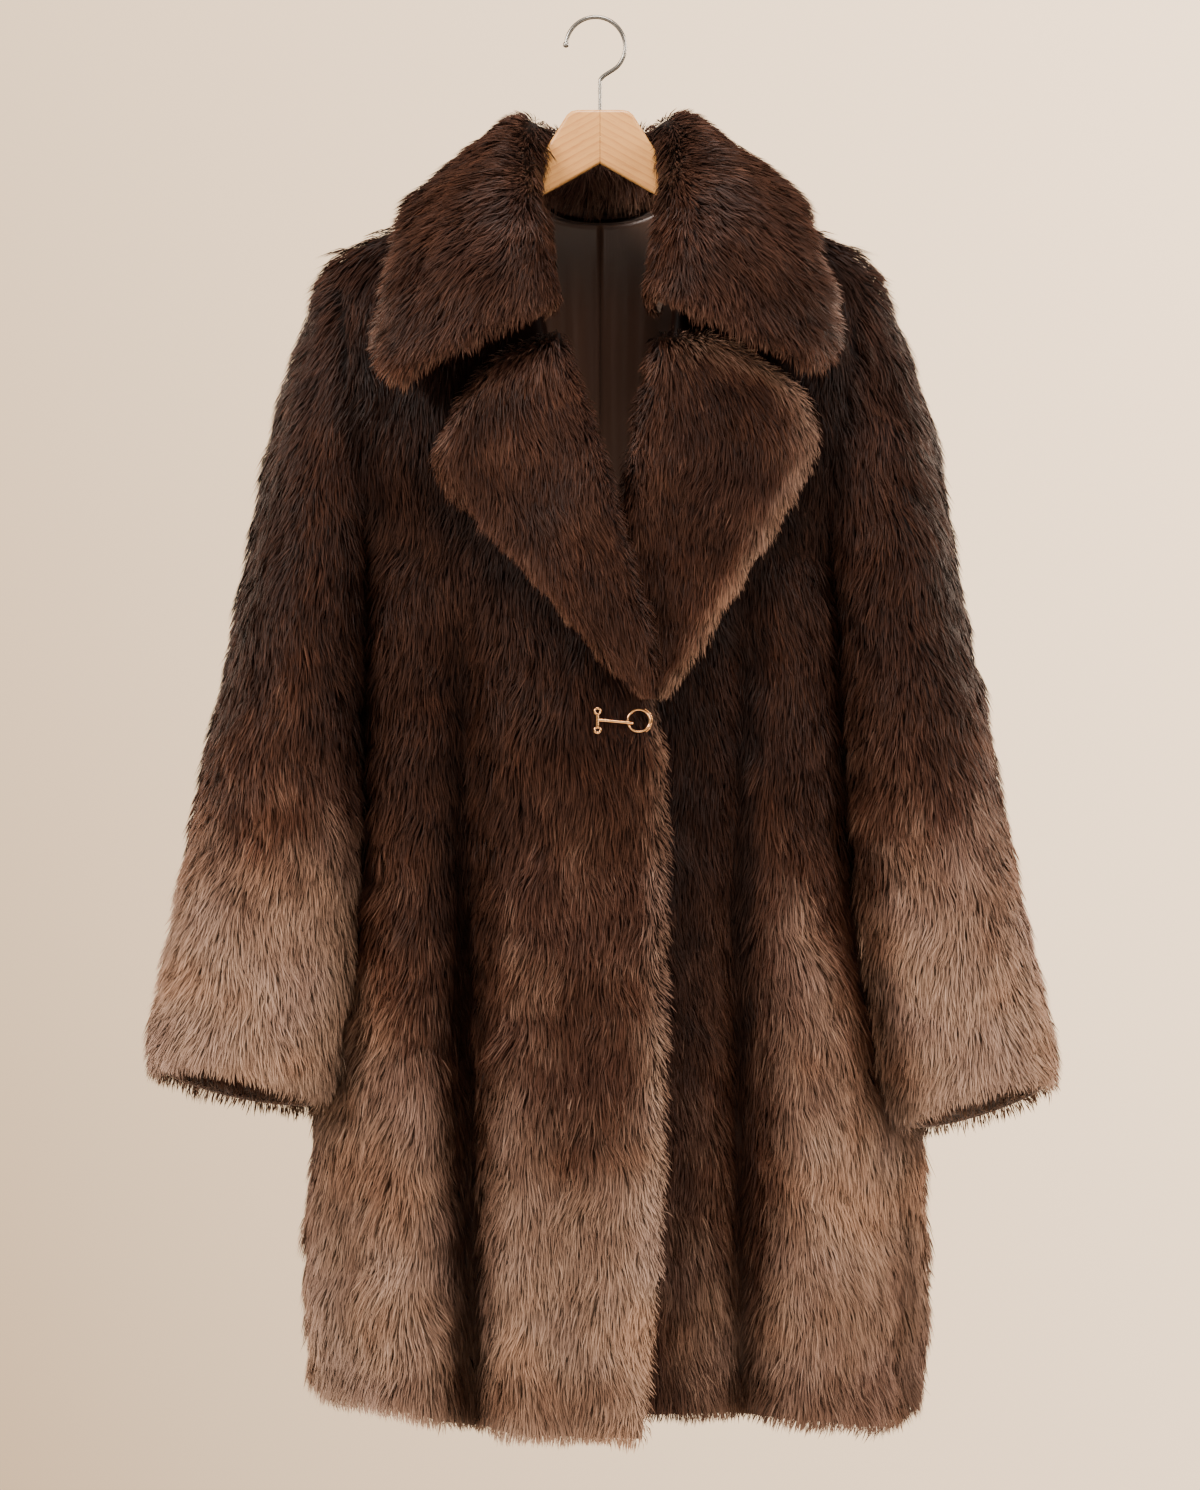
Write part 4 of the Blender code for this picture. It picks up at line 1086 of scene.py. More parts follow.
@dataclass
class Panel:
    """A fur panel: a thin skin on its solid's form and the pile on it."""

    name: str  # the CAD node that it stands for
    place: Place  # the solid's form as a function of across, down and depth
    rests_on: Sequence[str]  # the names of what carries it
    laid: tuple[float, float]  # width and length that its pile is laid out on, in metres
    cells: tuple[int, int]  # columns and rows of the skin's grid
    strands: int  # how many strands stand on it
    seed: int  # which uneven pile it is
    tone: Field  # its fade
    pile: Pile  # how its strands stand
    edges: Edges  # its free edges
    dense: Field = everywhere  # where the pile is kept: 0 where nothing shows
    low: Field | None = None  # where the pile is pressed down: 1 flat, 0 not
    # Painted shade: where its strands show only their dark lower parts, 1 wholly, 0 not
    shade: Field | None = None
    puff: Field | None = None  # how far it swells out, in metres
    rim_light: float = 0.08  # how much paler its pile is along its free edges: partly paler fur, partly painted rim light
    rim_light_lean: float = 0.0  # 1 for the pale rim only towards across 1, 0 for all the free edges
    part: float | None = None  # how far down strands part, on a collar
    lined: float = 0.0  # length of the pile turned in at its bottom edge
    tube: bool = False  # whether its sides are joined, as on a sleeve
    power: float = 1.0  # how the form's rows are spread
    swell: float = 0.0025  # how uneven its surface is, in metres
    slot: str = "fur"  # the name of its material slot

    def surface(self, across: Array, down: Array, depth: Array) -> Array:
        """A place on the finished panel, with its soft unevenness and its turned edges."""
        near = np.clip(1 - self.to_edge(across, down) / self.edges.reach, 0, 1)
        turned = self.edges.turn * (1 - np.sqrt(1 - near**2))
        flat = self.place(across, down, 0 * depth)
        broad, fine = Ripple(0.11, self.seed + 1)(flat), Ripple(0.045, self.seed + 2)(flat)
        uneven = self.swell * (0.7 * broad + 0.5 * fine)
        uneven = uneven * (1 - near) * np.clip(1 - depth / WALL, 0, 1)
        if self.puff is not None:
            uneven = uneven + self.puff(flat)
        return self.place(across, down, depth + turned - uneven)

    def to_edge(self, across: Array, down: Array) -> Array:
        """How far places lie from the nearest free edge, in metres."""
        width, length = self.laid
        far = np.full(np.shape(across), 1.0)
        for free, edge in (
            (self.edges.start, across * width),
            (self.edges.end, (1 - across) * width),
            (self.edges.bottom, (1 - down**self.power) * length),
            (self.edges.top, down * length),
        ):
            far = np.minimum(far, edge) if free else far
        return np.maximum(far, 0)

    def ground(self, across: Array, down: Array, depth: Array) -> Ground:
        """Places on the panel with their directions.

        Args:
            across: Places across the panel.
            down: Places down it.
            depth: How far inside its fur side.

        Returns:
            The places and directions.
        """
        step = 1.5e-3
        left = across - step if self.tube else np.clip(across - step, 0, 1)
        right = across + step if self.tube else np.clip(across + step, 0, 1)
        above = np.clip(down - step, 0, 1)
        below = np.clip(down + step, 0, 1)
        spot = self.surface(across, down, depth)
        wide = self.surface(right, down, depth) - self.surface(left, down, depth)
        tall = self.surface(across, below, depth) - self.surface(across, above, depth)
        wide, tall = wide / (right - left)[..., None], tall / (below - above)[..., None]
        normal = unit(np.cross(wide, tall))
        outer = self.place(across, down, 0 * depth) - self.place(across, down, 0 * depth + WALL)
        if np.sum(normal * outer) < 0:
            normal = -normal
        return Ground(across, down, spot, wide, tall, normal)

    def skin(self, finishes: Finishes) -> bpy.types.Object:
        """The thin shell under the pile, knitted inside and dark on its fur side with the roots'
        painted shade, so that gaps in the pile look dark.
        """
        bm = grid(*self.cells)
        for face in extrude(bm, bm.faces[:], (0, 0, 1)):
            face.material_index = 1
        if self.tube:
            ends = [f for f in bm.faces if all(abs(abs(v.co.x) - 0.5) < 1e-6 for v in f.verts)]
            closing = [face for face in ends if len({round(v.co.x) for v in face.verts}) == 1]
            bmesh.ops.delete(bm, geom=closing, context="FACES_ONLY")
        flat = np.array([vertex.co for vertex in bm.verts])
        depth = mix(self.pile.root, WALL - SKIN_INSET, flat[:, 2])
        bent = self.surface(flat[:, 0] + 0.5, 0.5 - flat[:, 1], depth)
        if self.tube:
            top = flat[:, 1] > 0.5 - 1e-6
            bent[top, 0] -= np.sign(bent[top, 0]) * SEAM_ALLOWANCE
        move_to(bm, bent)
        if self.tube:
            bmesh.ops.remove_doubles(bm, verts=bm.verts[:], dist=1e-6)
        bmesh.ops.recalc_face_normals(bm, faces=bm.faces[:])
        if bm.calc_volume(signed=True) < 0:
            bmesh.ops.reverse_faces(bm, faces=bm.faces[:])
        mesh = new_mesh(f"{self.name}_skin", bm)
        points = np.empty(len(mesh.vertices) * 3, np.float32)
        mesh.vertices.foreach_get("co", points)
        corner = np.empty(len(mesh.loops), np.int32)
        mesh.loops.foreach_get("vertex_index", corner)
        tone = np.clip(self.tone(points.reshape(-1, 3)), 0, 1)[corner]
        write_map(mesh, STRAND_MAP, np.stack([0 * tone + SKIN_TONE_PLACE, tone], -1))
        return new_piece(mesh, self.slot, finishes.fur, finishes.backing)

    def __post_init__(self) -> None:
        """Start the panel's own random numbers."""
        self.rng = np.random.default_rng(self.seed)

    def roots(self) -> tuple[Array, Array]:
        """Evenly scattered places across and down for the strands' roots."""
        width, length = self.laid
        tries = ROOT_TRIES * self.strands
        columns = max(2, int(math.sqrt(tries * width / length)))
        rows = max(2, int(tries / columns))
        across, down = np.meshgrid(np.arange(columns), np.arange(rows))
        across = (across.ravel() + self.rng.random(columns * rows)) / columns
        down = (down.ravel() + self.rng.random(columns * rows)) / rows
        ground = self.ground(across, down, 0 * across + self.pile.root)
        area = np.linalg.norm(np.cross(ground.wide, ground.tall), axis=-1)
        share = area * self.dense(ground.spot)
        share *= self.strands / share.sum()
        kept = self.rng.random(len(share)) < share
        return across[kept], down[kept]

    def gather(self, ground: Ground) -> None:
        """Find each strand's lock, with the way to its middle and its random numbers."""
        width, length = self.laid
        size = self.pile.lock
        x = ground.across * width / size
        y = ground.down * length / (LOCK_TALL * size)
        columns, rows = int(width / size) + 3, int(length / (LOCK_TALL * size)) + 3
        middle_x = self.rng.random((columns, rows))
        middle_y = self.rng.random((columns, rows))
        own = self.rng.random((columns, rows, 3))
        best = np.full(len(x), 1e9)
        step_x, step_y = np.zeros(len(x)), np.zeros(len(x))
        ground.own = np.zeros((len(x), 3))
        for shift_x, shift_y in product((-1, 0, 1), repeat=2):
            cell_x = np.floor(x).astype(int) + shift_x
            cell_y = np.floor(y).astype(int) + shift_y
            cell = np.clip(cell_x, 0, columns - 1), np.clip(cell_y, 0, rows - 1)
            to_x = cell_x + middle_x[cell] - x
            to_y = cell_y + middle_y[cell] - y
            far = to_x**2 + to_y**2
            nearer = far < best
            best = np.where(nearer, far, best)
            step_x = np.where(nearer, to_x * size / width, step_x)
            step_y = np.where(nearer, to_y * LOCK_TALL * size / length, step_y)
            ground.own = np.where(nearer[:, None], own[cell], ground.own)
        ground.toward = ground.wide * step_x[:, None] + ground.tall * step_y[:, None]

    def flow(self, ground: Ground) -> Array:
        """The direction that each strand lies in, as a vector of length 1."""
        pile, root, normal = self.pile, ground.spot, ground.normal
        side = np.array([1.0, 0.0, 0.0])
        hang = np.array([0.0, 0.0, -1.0]) + normal * normal[:, 2:]
        flow = hang + pile.lean * normal[:, :1] * (side - normal * normal[:, :1])
        outwards = RIDGE_FLOW * on_ridge(root) * np.clip(root[:, 0] / 0.06, -1, 1)
        outwards = outwards[:, None] * side
        flow = flow + outwards - normal * dot(outwards, normal)
        if pile.comb:
            way = np.ones(len(root))
            if self.part is not None:
                way = np.tanh((ground.down - self.part) / 0.08)
                way = np.where(way < 0, 0.35 * way, way)
            flow = flow + pile.comb * way[:, None] * unit(ground.tall)
        width = self.laid[0]
        for free, sign, edge in (
            (self.edges.start, -1, ground.across),
            (self.edges.end, 1, 1 - ground.across),
        ):
            if free:
                fan = self.edges.fan * np.exp(-edge * width / (1.6 * self.edges.reach))
                flow = flow + sign * (unit(ground.wide) * fan[:, None])
        flow = unit(flow)
        broad, fine = Ripple(0.070, self.seed + 3)(root), Ripple(0.022, self.seed + 4)(root)
        turn = 0.22 * broad + 0.16 * fine
        turn = turn + 0.5 * pile.stray * 2 * (ground.own[:, 0] - 0.5)
        turn = (turn + self.rng.normal(0, pile.stray * 0.6, len(root)))[:, None]
        flow = flow * np.cos(turn) + np.cross(normal, flow) * np.sin(turn)
        return unit(flow - normal * dot(flow, normal))

    def grow(self, finishes: Finishes) -> bpy.types.Object:
        """The pile: each strand is a narrow kite, bent at its middle and laid along its flow."""
        across, down = self.roots()
        turned_in = np.zeros(len(across), bool)
        if self.lined:
            more = int(self.strands * 1.6 * self.lined / self.laid[1])
            across = np.append(across, self.rng.random(more))
            down = np.append(down, 1 - self.rng.random(more) * self.lined / self.laid[1])
            turned_in = np.append(turned_in, np.ones(more, bool))
        depth = np.where(turned_in, WALL - TURNED_IN_INSET, self.pile.root)
        ground = self.ground(across, down, depth)
        ground.turned_in = turned_in
        ground.normal = np.where(turned_in[:, None], -ground.normal, ground.normal)
        self.gather(ground)
        points, normals = self.kites(ground)
        places = self.strand_places(ground, points[:, 3].copy())
        return self.weave(points, normals, places, finishes)

    def kites(self, ground: Ground) -> tuple[Array, Array]:
        """The strands' corners.

        Args:
            ground: Their roots.

        Returns:
            Root, two middles and tip of each strand, and the normals there.
        """
        pile, root, normal = self.pile, ground.spot, ground.normal
        toward, turned_in, rng = ground.toward, ground.turned_in, self.rng
        count = len(root)
        flow = self.flow(ground)
        bunch = Ripple(0.030, self.seed + 5)(root)
        length = pile.length * rng.uniform(*LENGTHS, count) * (1 + 0.14 * bunch)
        height = pile.height * rng.beta(3.0, 2.0, count)
        height = height * (1.15 + 0.25 * bunch + 0.35 * (ground.own[:, 1] - 0.5))
        if self.low is not None:
            pressed = self.low(root)
            height = height * (1 - 0.85 * pressed)
            length = length * (1 - 0.35 * pressed)
        far = self.to_edge(ground.across, ground.down)
        length = length * (1 - EDGE_SHORT * hump((far, 0, EDGE_NEAR)))
        if self.part is not None:
            height = height * (1 + 0.2 * hump((ground.down, self.part, 0.12)))
        length = np.where(turned_in, np.minimum(0.8 * length, far + TIP_OUT), length)
        height = np.where(turned_in, 0.7 * height, height)
        reach = np.maximum(np.linalg.norm(toward, axis=-1, keepdims=True), 1e-9)
        toward = toward * np.minimum(1, pile.lock / reach)
        sway = unit(np.cross(normal, flow))
        gather = (pile.gather * rng.uniform(*GATHERS, count))[:, None]
        length, height = length[:, None], height[:, None]
        tip = root + flow * length + normal * height
        tip += sway * dot(toward, sway) * gather
        tip[:, 2:] -= DROOP * length
        middle = root + flow * BEND_ALONG * length + normal * BEND_HIGH * height
        middle += sway * dot(toward, sway) * gather * 0.35
        roll = rng.normal(0, ROLL, count)[:, None]
        aside = sway * np.cos(roll) + normal * np.sin(roll)
        half = (0.5 * pile.width * rng.uniform(*WIDTHS, count))[:, None]
        points = np.stack([root, middle - aside * half, middle + aside * half, tip], 1)
        facing = unit(np.cross(flow, aside))
        facing *= np.where(dot(facing, normal) < 0, -1, 1)
        shade = unit(0.62 * normal + 0.55 * facing)
        sides = [unit(shade - 0.4 * aside), unit(shade + 0.4 * aside)]
        return points, np.stack([shade, *sides, shade], 1)

    def strand_places(self, ground: Ground, tip: Array) -> Array:
        """The corners' places on the strand map: how far along the strand, and its tone."""
        count, turned_in, rng = len(tip), ground.turned_in, self.rng
        far = self.to_edge(ground.across, ground.down)
        tone = self.tone(tip) + rng.normal(0, TONES, count)
        tone += 0.10 * (ground.own[:, 2] - 0.5)
        # Paler pile along the free edges: partly paler fur, partly painted rim light
        reach = EDGE_NEAR * (1 + 0.8 * self.rim_light_lean)
        leaning = mix(1, np.clip(2 * ground.across, 0, 1), self.rim_light_lean)
        tone += self.rim_light * hump((far, 0, reach)) * leaning
        tone += np.where(rng.random(count) < GUARD_SHARE, GUARD_LIGHT, 0)
        # Painted shade: pile turned in at a bottom edge darkens the further it lies inside
        tone *= np.where(turned_in, 0.12 + 0.88 * np.exp(-far / EDGE_NEAR), 1)
        tone = np.clip(0.02 + 0.96 * tone, 0.01, 0.99)
        bright = rng.uniform(0.78, 1.0, count)
        # Painted shade: strands in shade keep to the darker part of the strand map
        if self.shade is not None:
            bright *= np.where(turned_in, 1, 1 - 0.75 * self.shade(ground.spot))
        ends = np.zeros(count)
        corners = (
            (ends + 0.01, tone),
            (0.5 * bright, tone - SIDE_TONE),
            (0.5 * bright, tone + SIDE_TONE),
            (0.99 * bright, tone),
        )
        return np.stack([np.stack(corner, -1) for corner in corners], 1)

    def weave(
        self, points: Array, normals: Array, places: Array, finishes: Finishes
    ) -> bpy.types.Object:
        """One mesh of all the strands.

        Args:
            points: Root, two middles and tip of each strand.
            normals: The normals there.
            places: Their places on the strand map.
            finishes: The coat's materials.

        Returns:
            The pile's piece.
        """
        count = len(points)
        corners = np.array([0, 1, 2, 2, 1, 3])
        index = (4 * np.arange(count)[:, None] + corners).ravel()
        mesh = bpy.data.meshes.new(f"{self.name}_pile")
        mesh.vertices.add(4 * count)
        mesh.vertices.foreach_set("co", points.astype(np.float32).ravel())
        mesh.loops.add(6 * count)
        mesh.loops.foreach_set("vertex_index", index.astype(np.int32))
        mesh.polygons.add(2 * count)
        mesh.polygons.foreach_set("loop_start", np.arange(0, 6 * count, 3, dtype=np.int32))
        mesh.update(calc_edges=True)
        mesh.shade_smooth()
        flat_places = places.reshape(-1, 2)[index]
        for name in (STRAND_MAP, BAKE_MAP):
            write_map(mesh, name, flat_places)
        mesh.normals_split_custom_set_from_vertices(normals.reshape(-1, 3).astype(np.float32))
        return new_piece(mesh, self.slot, finishes.fur)

    def build(self, finishes: Finishes) -> None:
        """Make the panel, hide the solid that it stands for and log its counts."""
        skin = self.skin(finishes)
        pile = self.grow(finishes)
        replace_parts(skin, self.name)
        counts = len(skin.data.polygons), len(pile.data.polygons) // 2
        log.info("%s: %d skin faces, %d strands", self.name, *counts)


# --- What covers what -------------------------------------------------------------
@dataclass(frozen=True)
class Outline:
    """The outline of a piece that lies on others, seen from the front."""

    corners: Array  # x and Z of its corners in order

    @classmethod
    def of_lapel(cls, side: Side) -> Outline:
        """Round a lapel."""
        rows = LAPELS[side]
        roll = np.stack([rows["roll_x"], rows["roll_z"]], -1)
        edge = np.stack([rows["edge_x"], rows["edge_z"]], -1)
        return cls(np.concatenate([roll, edge[::-1]]))

    @classmethod
    def of_collar(cls, side: Side) -> Outline:
        """Round one front half of the collar, from the shoulder to its front end."""
        along = side.value * np.linspace(0.42, 1.0, 9)
        inner = collar_underside(along, 0 * along + 0.15)
        outer = collar_underside(along, 0 * along + 1.0)
        return cls(np.concatenate([inner, outer[::-1]])[:, [0, 2]])

    def covers(self, points: Array, inset: float = 0.0) -> Array:
        """Whether points lie at least this far inside it.

        Args:
            points: Places in space.
            inset: How far inside they must lie.

        Returns:
            True where they do.
        """
        x, z = points[..., 0], points[..., 2]
        odd = np.zeros(x.shape, bool)
        for (x0, z0), (x1, z1) in zip(self.corners, np.roll(self.corners, -1, 0)):
            between = (z0 > z) != (z1 > z)
            odd ^= between & (x < x0 + (z - z0) * (x1 - x0) / (z1 - z0 + 1e-12))
        return odd & (self.far(points) > inset) if inset else odd

    def far(self, points: Array) -> Array:
        """How far points lie from its line."""
        flat = points[..., [0, 2]]
        least = np.full(flat.shape[:-1], 1e9)
        for start, end in zip(self.corners, np.roll(self.corners, -1, 0)):
            way = end - start
            part = np.clip((flat - start) @ way / max(way @ way, 1e-12), 0, 1)
            reach = np.linalg.norm(flat - start - part[..., None] * way, axis=-1)
            least = np.minimum(least, reach)
        return least

    def beside(self, points: Array, reach: float) -> Array:
        """1 at and inside its line, and less the further outside."""
        return np.where(self.covers(points), 1.0, hump((self.far(points), 0, reach)))


LAPEL_LINES = {side: Outline.of_lapel(side) for side in Side}
COLLAR_LINES = {side: Outline.of_collar(side) for side in Side}


def pressed_at_clasp(points: Array) -> Array:
    """1 where the pile lies flat under the clasp and just above it."""
    x = np.abs(points[..., 0] - CLASP_X) / 0.032
    z = np.abs(points[..., 2] - CLASP_Z - 0.009) / 0.022
    return ease(1.6 * (1.25 - np.sqrt(x**4 + z**4) ** 0.5))


def lap_edge(points: Array) -> Array:
    """How far points lie to the wearer's left of the right front's edge."""
    return points[..., 0] + smooth(FRONT_EDGES[Side.RIGHT], "out", points[..., 2])


def front_rolls(points: Array) -> Array:
    """How far the front's soft rolls stand out and its furrows sink in, in metres."""
    x, z = points[..., 0], points[..., 2]
    found = np.zeros(x.shape)
    for middle, half_width, rise, start in zip(*FRONT_ROLLS.values()):
        drift = middle + 0.004 * np.sin(7 * z + 30 * middle)
        found += rise * hump((x, drift, half_width)) * below(z, start, 0.12)
    return found


def in_folds(points: Array) -> Array:
    """1 at the bottom of the front's deep folds."""
    depth = fold_depth(FRONT_FOLDS, points[..., 0], points[..., 2])
    deep = np.sqrt(np.clip(depth / DEEPEST_FOLD, 0, 1))
    return np.clip(np.maximum(deep, -front_rolls(points) / 0.0095), 0, 1)


def beside_sleeve(points: Array) -> Array:
    """1 in the narrow gap between the body and a sleeve, and less to either side of it."""
    x, z = points[..., 0], points[..., 2]
    found = np.zeros(x.shape)
    for side in Side:
        rows = SLEEVES[side]
        down = np.interp(-z, -rows["in_z"], rows["down"])
        gap = np.abs(side.value * x - side.value * smooth(rows, "in_x", down))
        shut = ease((z + 0.86) / 0.06) * below(z, -0.20, 0.05)
        found = np.maximum(found, hump((gap, 0, 0.017)) * shut)
    return found


def on_ridge(points: Array) -> Array:
    """1 along the top of the shoulders and less below it."""
    return ease((points[..., 2] - shoulder(points[..., 0]) + 0.036) / 0.026)


def ridge_low(points: Array) -> Array:
    """Where the pile lies flatter along the top of the shoulders."""
    return 0.2 * on_ridge(points)


def sleeve_puff(points: Array) -> Array:
    """The body and the sleeves swell out to meet beside each other, and along the shoulders."""
    return MEETING_PUFF * beside_sleeve(points) + MEETING_PUFF * on_ridge(points)


def front_puff(points: Array) -> Array:
    """The fronts swell out beside the sleeves and sink in their folds."""
    return sleeve_puff(points) + front_rolls(points)


def collar_puff(points: Array) -> Array:
    """The collar stands highest beside the hanger, where it turns over."""
    x, y = np.abs(points[..., 0]), points[..., 1]
    turned = hump((x, 0.058, 0.030), (y, 0.010, 0.045))
    high = COLLAR_PUFF * ease((x - 0.034) / 0.018) * turned
    return high - COLLAR_DRAW * below(x, 0.070, 0.03) * below(y, 0.01, 0.03)


def collar_low(points: Array) -> Array:
    """The collar's pile lies flat on the sides that face over the opening, and at its very top."""
    x, y, z = np.abs(points[..., 0]), points[..., 1], points[..., 2]
    facing = 0.75 * below(x, 0.072, 0.03) * below(y, 0.01, 0.03)
    return np.maximum(facing, 0.75 * ease((z + 0.100) / 0.022))


def lapel_low(points: Array) -> Array:
    """The lapels' pile lies flat above the clasp."""
    return pressed_at_clasp(points + np.array([-0.006, 0.0, -0.012]))


@dataclass(frozen=True)
class FrontCover:
    """What lies on one front: its lapel, the collar and, on the left, the right front."""

    side: Side  # whose front it is

    def shown(self, points: Array) -> Array:
        """1 where the front's pile shows."""
        x, z = points[..., 0], points[..., 2]
        hidden = LAPEL_LINES[self.side].covers(points, 0.010)
        hidden |= COLLAR_LINES[self.side].covers(points, 0.016)
        edge = self.side.value * smooth(FRONT_EDGES[self.side], "out", z)
        hidden |= (np.abs(x - edge) < 0.026) & (z > -0.497)
        if self.side is Side.LEFT:
            hidden |= (lap_edge(points) < -0.014) & (z < -0.36)
            hidden |= LAPEL_LINES[Side.RIGHT].covers(points, 0.010)
        return np.where(hidden, 0.0, 1.0)

    def under(self, points: Array) -> Array:
        """1 beside the edges of what lies on it, and less further off."""
        lapel_edge = LAPEL_LINES[self.side].beside(points, 0.020)
        found = np.maximum(lapel_edge, COLLAR_LINES[self.side].beside(points, 0.024))
        if self.side is Side.LEFT:
            beside = hump((np.maximum(lap_edge(points), 0), 0, 0.046))
            found = np.maximum(found, np.where(points[..., 2] < -0.50, beside, 0))
        return found

    def low(self, points: Array) -> Array:
        """Where its pile is pressed down."""
        pressed = np.maximum(0.65 * self.under(points), 0.45 * in_folds(points))
        return np.maximum.reduce([pressed, ridge_low(points), pressed_at_clasp(points)])

    def shade(self, points: Array) -> Array:
        """Where its pile lies in the dark, as painted shade."""
        dark = [0.85 * self.under(points), 0.95 * in_folds(points), 0.85 * beside_sleeve(points)]
        return np.maximum.reduce(dark)


def seen_on_back(points: Array) -> Array:
    """1 where the back's pile shows below the collar."""
    return np.where((points[..., 2] > -0.190) & (np.abs(points[..., 0]) < 0.110), 0.0, 1.0)


def seen_on_sleeve(points: Array) -> Array:
    """More pile in front and against the body than behind."""
    forward = np.where(points[..., 1] < 0.005, 1.0, 0.62)
    return np.where(beside_sleeve(points) > 0.5, 1.15, forward)


def seen_on_collar(points: Array) -> Array:
    """More pile on the collar's front and inside than behind."""
    return np.where(points[..., 1] < 0.030, 1.0, 0.55)


# --- Fades ------------------------------------------------------------------------
@dataclass(frozen=True)
class Fade:
    """A fade down the pile, uneven as on dyed cloth: 0 dark brown, 1 straw."""

    start: float  # height where it starts
    over: float  # how far down it takes
    most: float  # how far it goes
    # How far up and down its line wanders, with broad and narrow waves, in metres
    drift: tuple[float, float]
    # The waves' sizes and the size of its small patches, in metres
    sizes: tuple[float, float, float]
    patches: float  # how strong the small patches are
    seed: int  # which uneven fade it is

    def line(self, points: Array) -> Array:
        """The fade without its small patches."""
        broad, narrow = (Ripple(self.sizes[i], self.seed + i)(points) for i in (0, 1))
        uneven = self.drift[0] * broad + self.drift[1] * narrow
        return self.most * below(points[..., 2], self.start, self.over, uneven)

    def small(self, points: Array) -> Array:
        """Its small patches."""
        return self.patches * Ripple(self.sizes[2], self.seed + 2)(points)


BODY_FADE = Fade(-0.53, 0.52, 0.88, (0.054, 0.020), (0.16, 0.05, 0.03), 0.04, 11)
SLEEVE_FADE = Fade(-0.465, 0.29, 0.82, (0.030, 0.015), (0.12, 0.04, 0.03), 0.05, 21)
# Where the body is paler or darker than its fade
BODY_STREAKS = table(
    "x half_width start over paler",
    (-0.205, 0.03, -0.62, 0.2, 0.12), (0.168, 0.034, -0.62, 0.16, 0.13),
    (0.17, 0.06, -0.88, 0.12, -0.3),
)


def body_tone(points: Array) -> Array:
    """The fade on the body, with painted shade at the hem, in its folds, beside the right front's
    edge that lies on it and beside the left sleeve.
    """
    x, y, z = points[..., 0], points[..., 1], points[..., 2]
    # Painted shade along the last few centimetres of the hem
    tone = BODY_FADE.line(points) * (1 - 0.22 * below(z, -1.010, 0.040))
    tone -= 0.10 * hump((x, -0.010, 0.045), (z, -0.890, 0.100))
    for middle, half_width, start, over, paler in zip(*BODY_STREAKS.values()):
        tone += paler * hump((x, middle, half_width)) * below(z, start, over)
    in_front = y < 0.02
    # Painted shade in the folds, in the recess beside the right front's edge and in the gap beside
    # the left sleeve
    folds = np.where(in_front, in_folds(points) ** 2, 0) * (1 - 0.35 * below(z, -0.92, 0.12))
    past = lap_edge(points)
    recess_shade = hump((past, 0, 0.050)) * ease(past / 0.006) * in_front
    left_gap_shade = beside_sleeve(points) * (x > 0)
    tone *= (1 - 0.55 * folds) * (1 - 0.58 * recess_shade) * (1 - 0.62 * left_gap_shade)
    return tone + BODY_FADE.small(points)


def sleeve_tone(points: Array) -> Array:
    """The fade on the sleeves, which is higher and shorter than the body's, with painted shade
    where the left sleeve meets the body.
    """
    # Painted shade in the gap between the left sleeve and the body
    left_gap_shade = beside_sleeve(points) * (points[..., 0] > 0)
    return SLEEVE_FADE.line(points) * (1 - 0.45 * left_gap_shade) + SLEEVE_FADE.small(points)


def collar_tone(points: Array) -> Array:
    """Dark brown with slightly paler patches, palest inside the neck."""
    behind = ((points - np.array([0.0, 0.032, -0.128])) / np.array([0.055, 0.030, 0.030])) ** 2
    patches = 0.06 * Ripple(0.05, 31)(points) + 0.04 * Ripple(0.02, 32)(points)
    return 0.02 + patches + 0.34 * np.exp(-np.sum(behind, -1))


